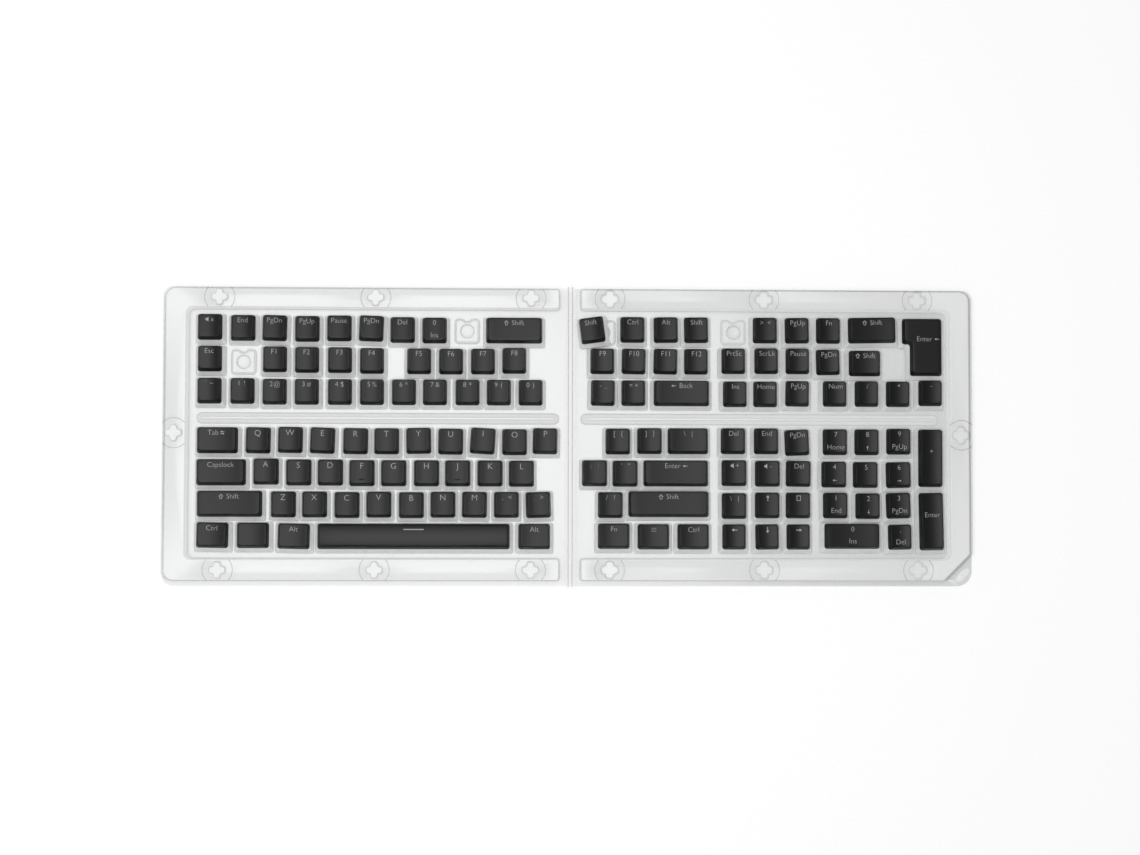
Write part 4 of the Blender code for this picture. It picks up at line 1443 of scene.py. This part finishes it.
    def build_page(self, side: int, keys: list[Key], materials: list[Material]) -> None:
        """Builds one page as a single sheet and gives it its thickness.

        Args:
            side: -1 for the left page, 1 for the right one.
            keys: the caps and bare posts.
            materials: the sheet's finishes on strips, walls, floor, rounded edges and the fold.
        """
        surface, name = Surface(), PAGES[side]
        rim = self.wall_profile(self.rim_top - self.sheet, self.draft, self.top_round)
        land, foot = self.add_wall(surface, self.rim_outline(side), rim, STRIP)
        snaps = self.snap_places(side)
        surface.add_flat(land, [self.add_snap(surface, side, x, y) for x, y in snaps], STRIP)
        strips = [self.strip_front, self.strip_back] * 3 + [self.strip_side]
        for i, ((x, y), strip) in enumerate(zip(snaps, strips)):
            self.add_pad_line(surface, x, y, strip / 2, upright=i == len(snaps) - 1)
        rib = self.wall_profile(self.rib_height, (self.rib_foot - self.rib_land) / 2, self.top_round)
        rib_land, rib_foot = self.add_wall(surface, self.rib_outline(side), rib, STRIP)
        surface.add_flat(rib_land, [], STRIP)
        posts = [self.add_post(surface, key) for key in keys
                 if key.side == side and (key.name == "." or key.separate)]
        grip = [self.add_tab_grip(surface)] if side > 0 else []
        self.add_floor(surface, side, [foot, rib_foot, *posts, *grip])
        thing = surface.to_object(f"{name}_sheet", materials, self.page_sharp)
        self.thicken(thing, self.page_share)
        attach(thing, name)
        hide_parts(name)
        LOG.info("%s: %d points", name, surface.count)

    def build_hinge(self, fold: Material, edge: Material) -> None:
        """Builds the living hinge: a half-round channel below the fold's axis, with a flange to each crest.

        Args:
            fold: the sheet's finish in the channel.
            edge: the sheet's finish on the flanges.
        """
        r, half = self.bead_radius, self.depth / 2
        angles = np.linspace(math.pi, 2.0 * math.pi, self.bead_steps + 1)
        x = np.concatenate([[-self.ridge_crest], r * np.cos(angles), [self.ridge_crest]])
        z = np.concatenate([[self.rim_top], self.axis_z + r * np.sin(angles), [self.rim_top]])
        y = np.linspace(-half, half, self.hinge_rows)
        grid = np.broadcast_arrays(x[:, None], y, z[:, None])
        surface, slots = Surface(), np.zeros(len(x) - 1, int)
        slots[[0, -1]] = 1
        surface.add_band(surface.add_points(np.stack(grid, axis=-1))[::-1], slots, closed=False)
        # The channel takes the fold's clearer finish, painted lighter; the flanges take the edge's darker
        # one, painted shade lines.
        thing = surface.to_object("living_hinge_sheet", [fold, edge], self.hinge_sharp)
        self.thicken(thing, self.hinge_share)
        # From the right page to the left one: at half a turn, this order makes the channel open outwards.
        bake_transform(thing)
        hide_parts("living_hinge")
        LOG.info("living hinge: %d points", surface.count)

    def build(self, keys: list[Key], materials: list[Material], floor_painted_shade: Material) -> None:
        """Builds both pages and the hinge between them.

        Args:
            keys: the caps and bare posts.
            materials: the sheet's finishes on strips, walls, floor, rounded edges and the fold.
            floor_painted_shade: finish of the right page's floor: a greyer, more opaque copy of the floor's,
                painted shade over that page.
        """
        self.build_page(-1, keys, materials)
        # The right page's floor gets a greyer, more opaque copy of the floor finish: painted shade over that
        # page.
        right = [floor_painted_shade if slot == FLOOR else material for slot, material in enumerate(materials)]
        self.build_page(1, keys, right)
        self.build_hinge(materials[FOLD], materials[EDGE])


@dataclass
class Studio:
    """White paper floor, soft light from above and the camera, almost straight above the tray.

    The camera's place and turn come from a fit to the caps' places in a picture of 1140 by 855 pixels.
    """

    camera_place: tuple[float, float, float] = (-0.03751, -0.03890, 1.11417)
    camera_turn: tuple[float, float, float] = (2.288, -1.941, 0.121)
    focal_pixels: float = 1855.0
    frame_pixels: float = 1140.0
    sensor: float = 36.0
    clip: tuple[float, float] = (0.01, 20.0)
    floor_half: float = 3.0
    floor_drop: float = 0.0002
    floor_sharp: float = 30.0
    lamp_place: tuple[float, float, float] = (-0.17, 0.02, 1.9)
    lamp_size: float = 1.05
    lamp_power: float = 25.0
    sky: float = 0.42

    def build(self, material: Material) -> None:
        """Sets up floor, light and camera.

        Args:
            material: the floor's finish.
        """
        surface = Surface()
        corners = np.array([(-1, -1, 0), (1, -1, 0), (1, 1, 0), (-1, 1, 0)]) * self.floor_half
        surface.add_faces(surface.add_points(corners)[None], 0)
        floor = surface.to_object("paper_floor", [material], self.floor_sharp)
        floor.location.z = -self.floor_drop
        world = bpy.data.worlds.new("soft white room")
        world.use_nodes = True
        sky = world.node_tree.nodes["Background"].inputs
        sky["Color"].default_value, sky["Strength"].default_value = linear("ffffff"), self.sky
        bpy.context.scene.world = world
        lamp = bpy.data.lights.new("softbox", "AREA")
        lamp.energy, lamp.size = self.lamp_power, self.lamp_size
        box = bpy.data.objects.new("softbox", lamp)
        box.location = self.lamp_place
        bpy.context.scene.collection.objects.link(box)
        lens = bpy.data.cameras.new("camera")
        lens.sensor_fit, lens.sensor_width = "HORIZONTAL", self.sensor
        lens.lens = self.focal_pixels / self.frame_pixels * self.sensor
        lens.clip_start, lens.clip_end = self.clip
        camera = bpy.data.objects.new("camera", lens)
        camera.location = self.camera_place
        camera.rotation_euler = [math.radians(a) for a in self.camera_turn]
        bpy.context.scene.collection.objects.link(camera)
        bpy.context.scene.camera = camera
        bpy.context.scene.view_settings.view_transform = "Standard"
        LOG.info("studio: camera lens %.2f mm", lens.lens)


def main() -> None:
    """Builds the pages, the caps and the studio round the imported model."""
    logging.basicConfig(level=logging.INFO, format="%(name)s: %(message)s")
    for thing in list(bpy.data.objects):
        bpy.data.objects.remove(thing)
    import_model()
    layout = KeyLayout()
    keys = layout.keys()
    caps = Caps(layout)
    *sheets, floor_painted_shade = [ClearSheet(name, colour, 0.22, 1.57, alpha).material() for name, colour, alpha in (
        ("thermoformed PET", "c4c6c7", 0.14),
        ("thermoformed PET, drawn wall", "b8babb", 0.12),
        ("thermoformed PET, on paper", "c0c2c3", 0.18),
        # Darker grey and more opaque than the strips: painted shade, the dark lines that clear sheet shows
        # along its rounded edges.
        ("thermoformed PET, rounded edge", "9c9e9f", 0.22),
        # Clearer than the strips, so that the steep slope up to the fold and the hinge channel read lighter:
        # painted light.
        ("thermoformed PET, thin at the fold", "c4c6c7", 0.06),
        # Greyer and more opaque than the left page's floor: painted shade over the right page.
        ("thermoformed PET, off the paper", "c0c2c3", 0.22))]
    finishes = [BlackShell("moulded black PBT", "0a0a0b", 0.34, 1.50).material(),
                MilkySkirt("translucent PBT", "d8d9d9", 0.40, 1.50).material(),
                LegendInlay("translucent legend inlay", "b0b0b0", 0.50, 1.50).material()]
    TrayPages(layout, caps).build(keys, sheets, floor_painted_shade)
    caps.build(keys, finishes)
    Studio().build(PaperSweep("white paper", "ffffff", 0.85, 1.45).material())


if __name__ == "__main__":
    main()
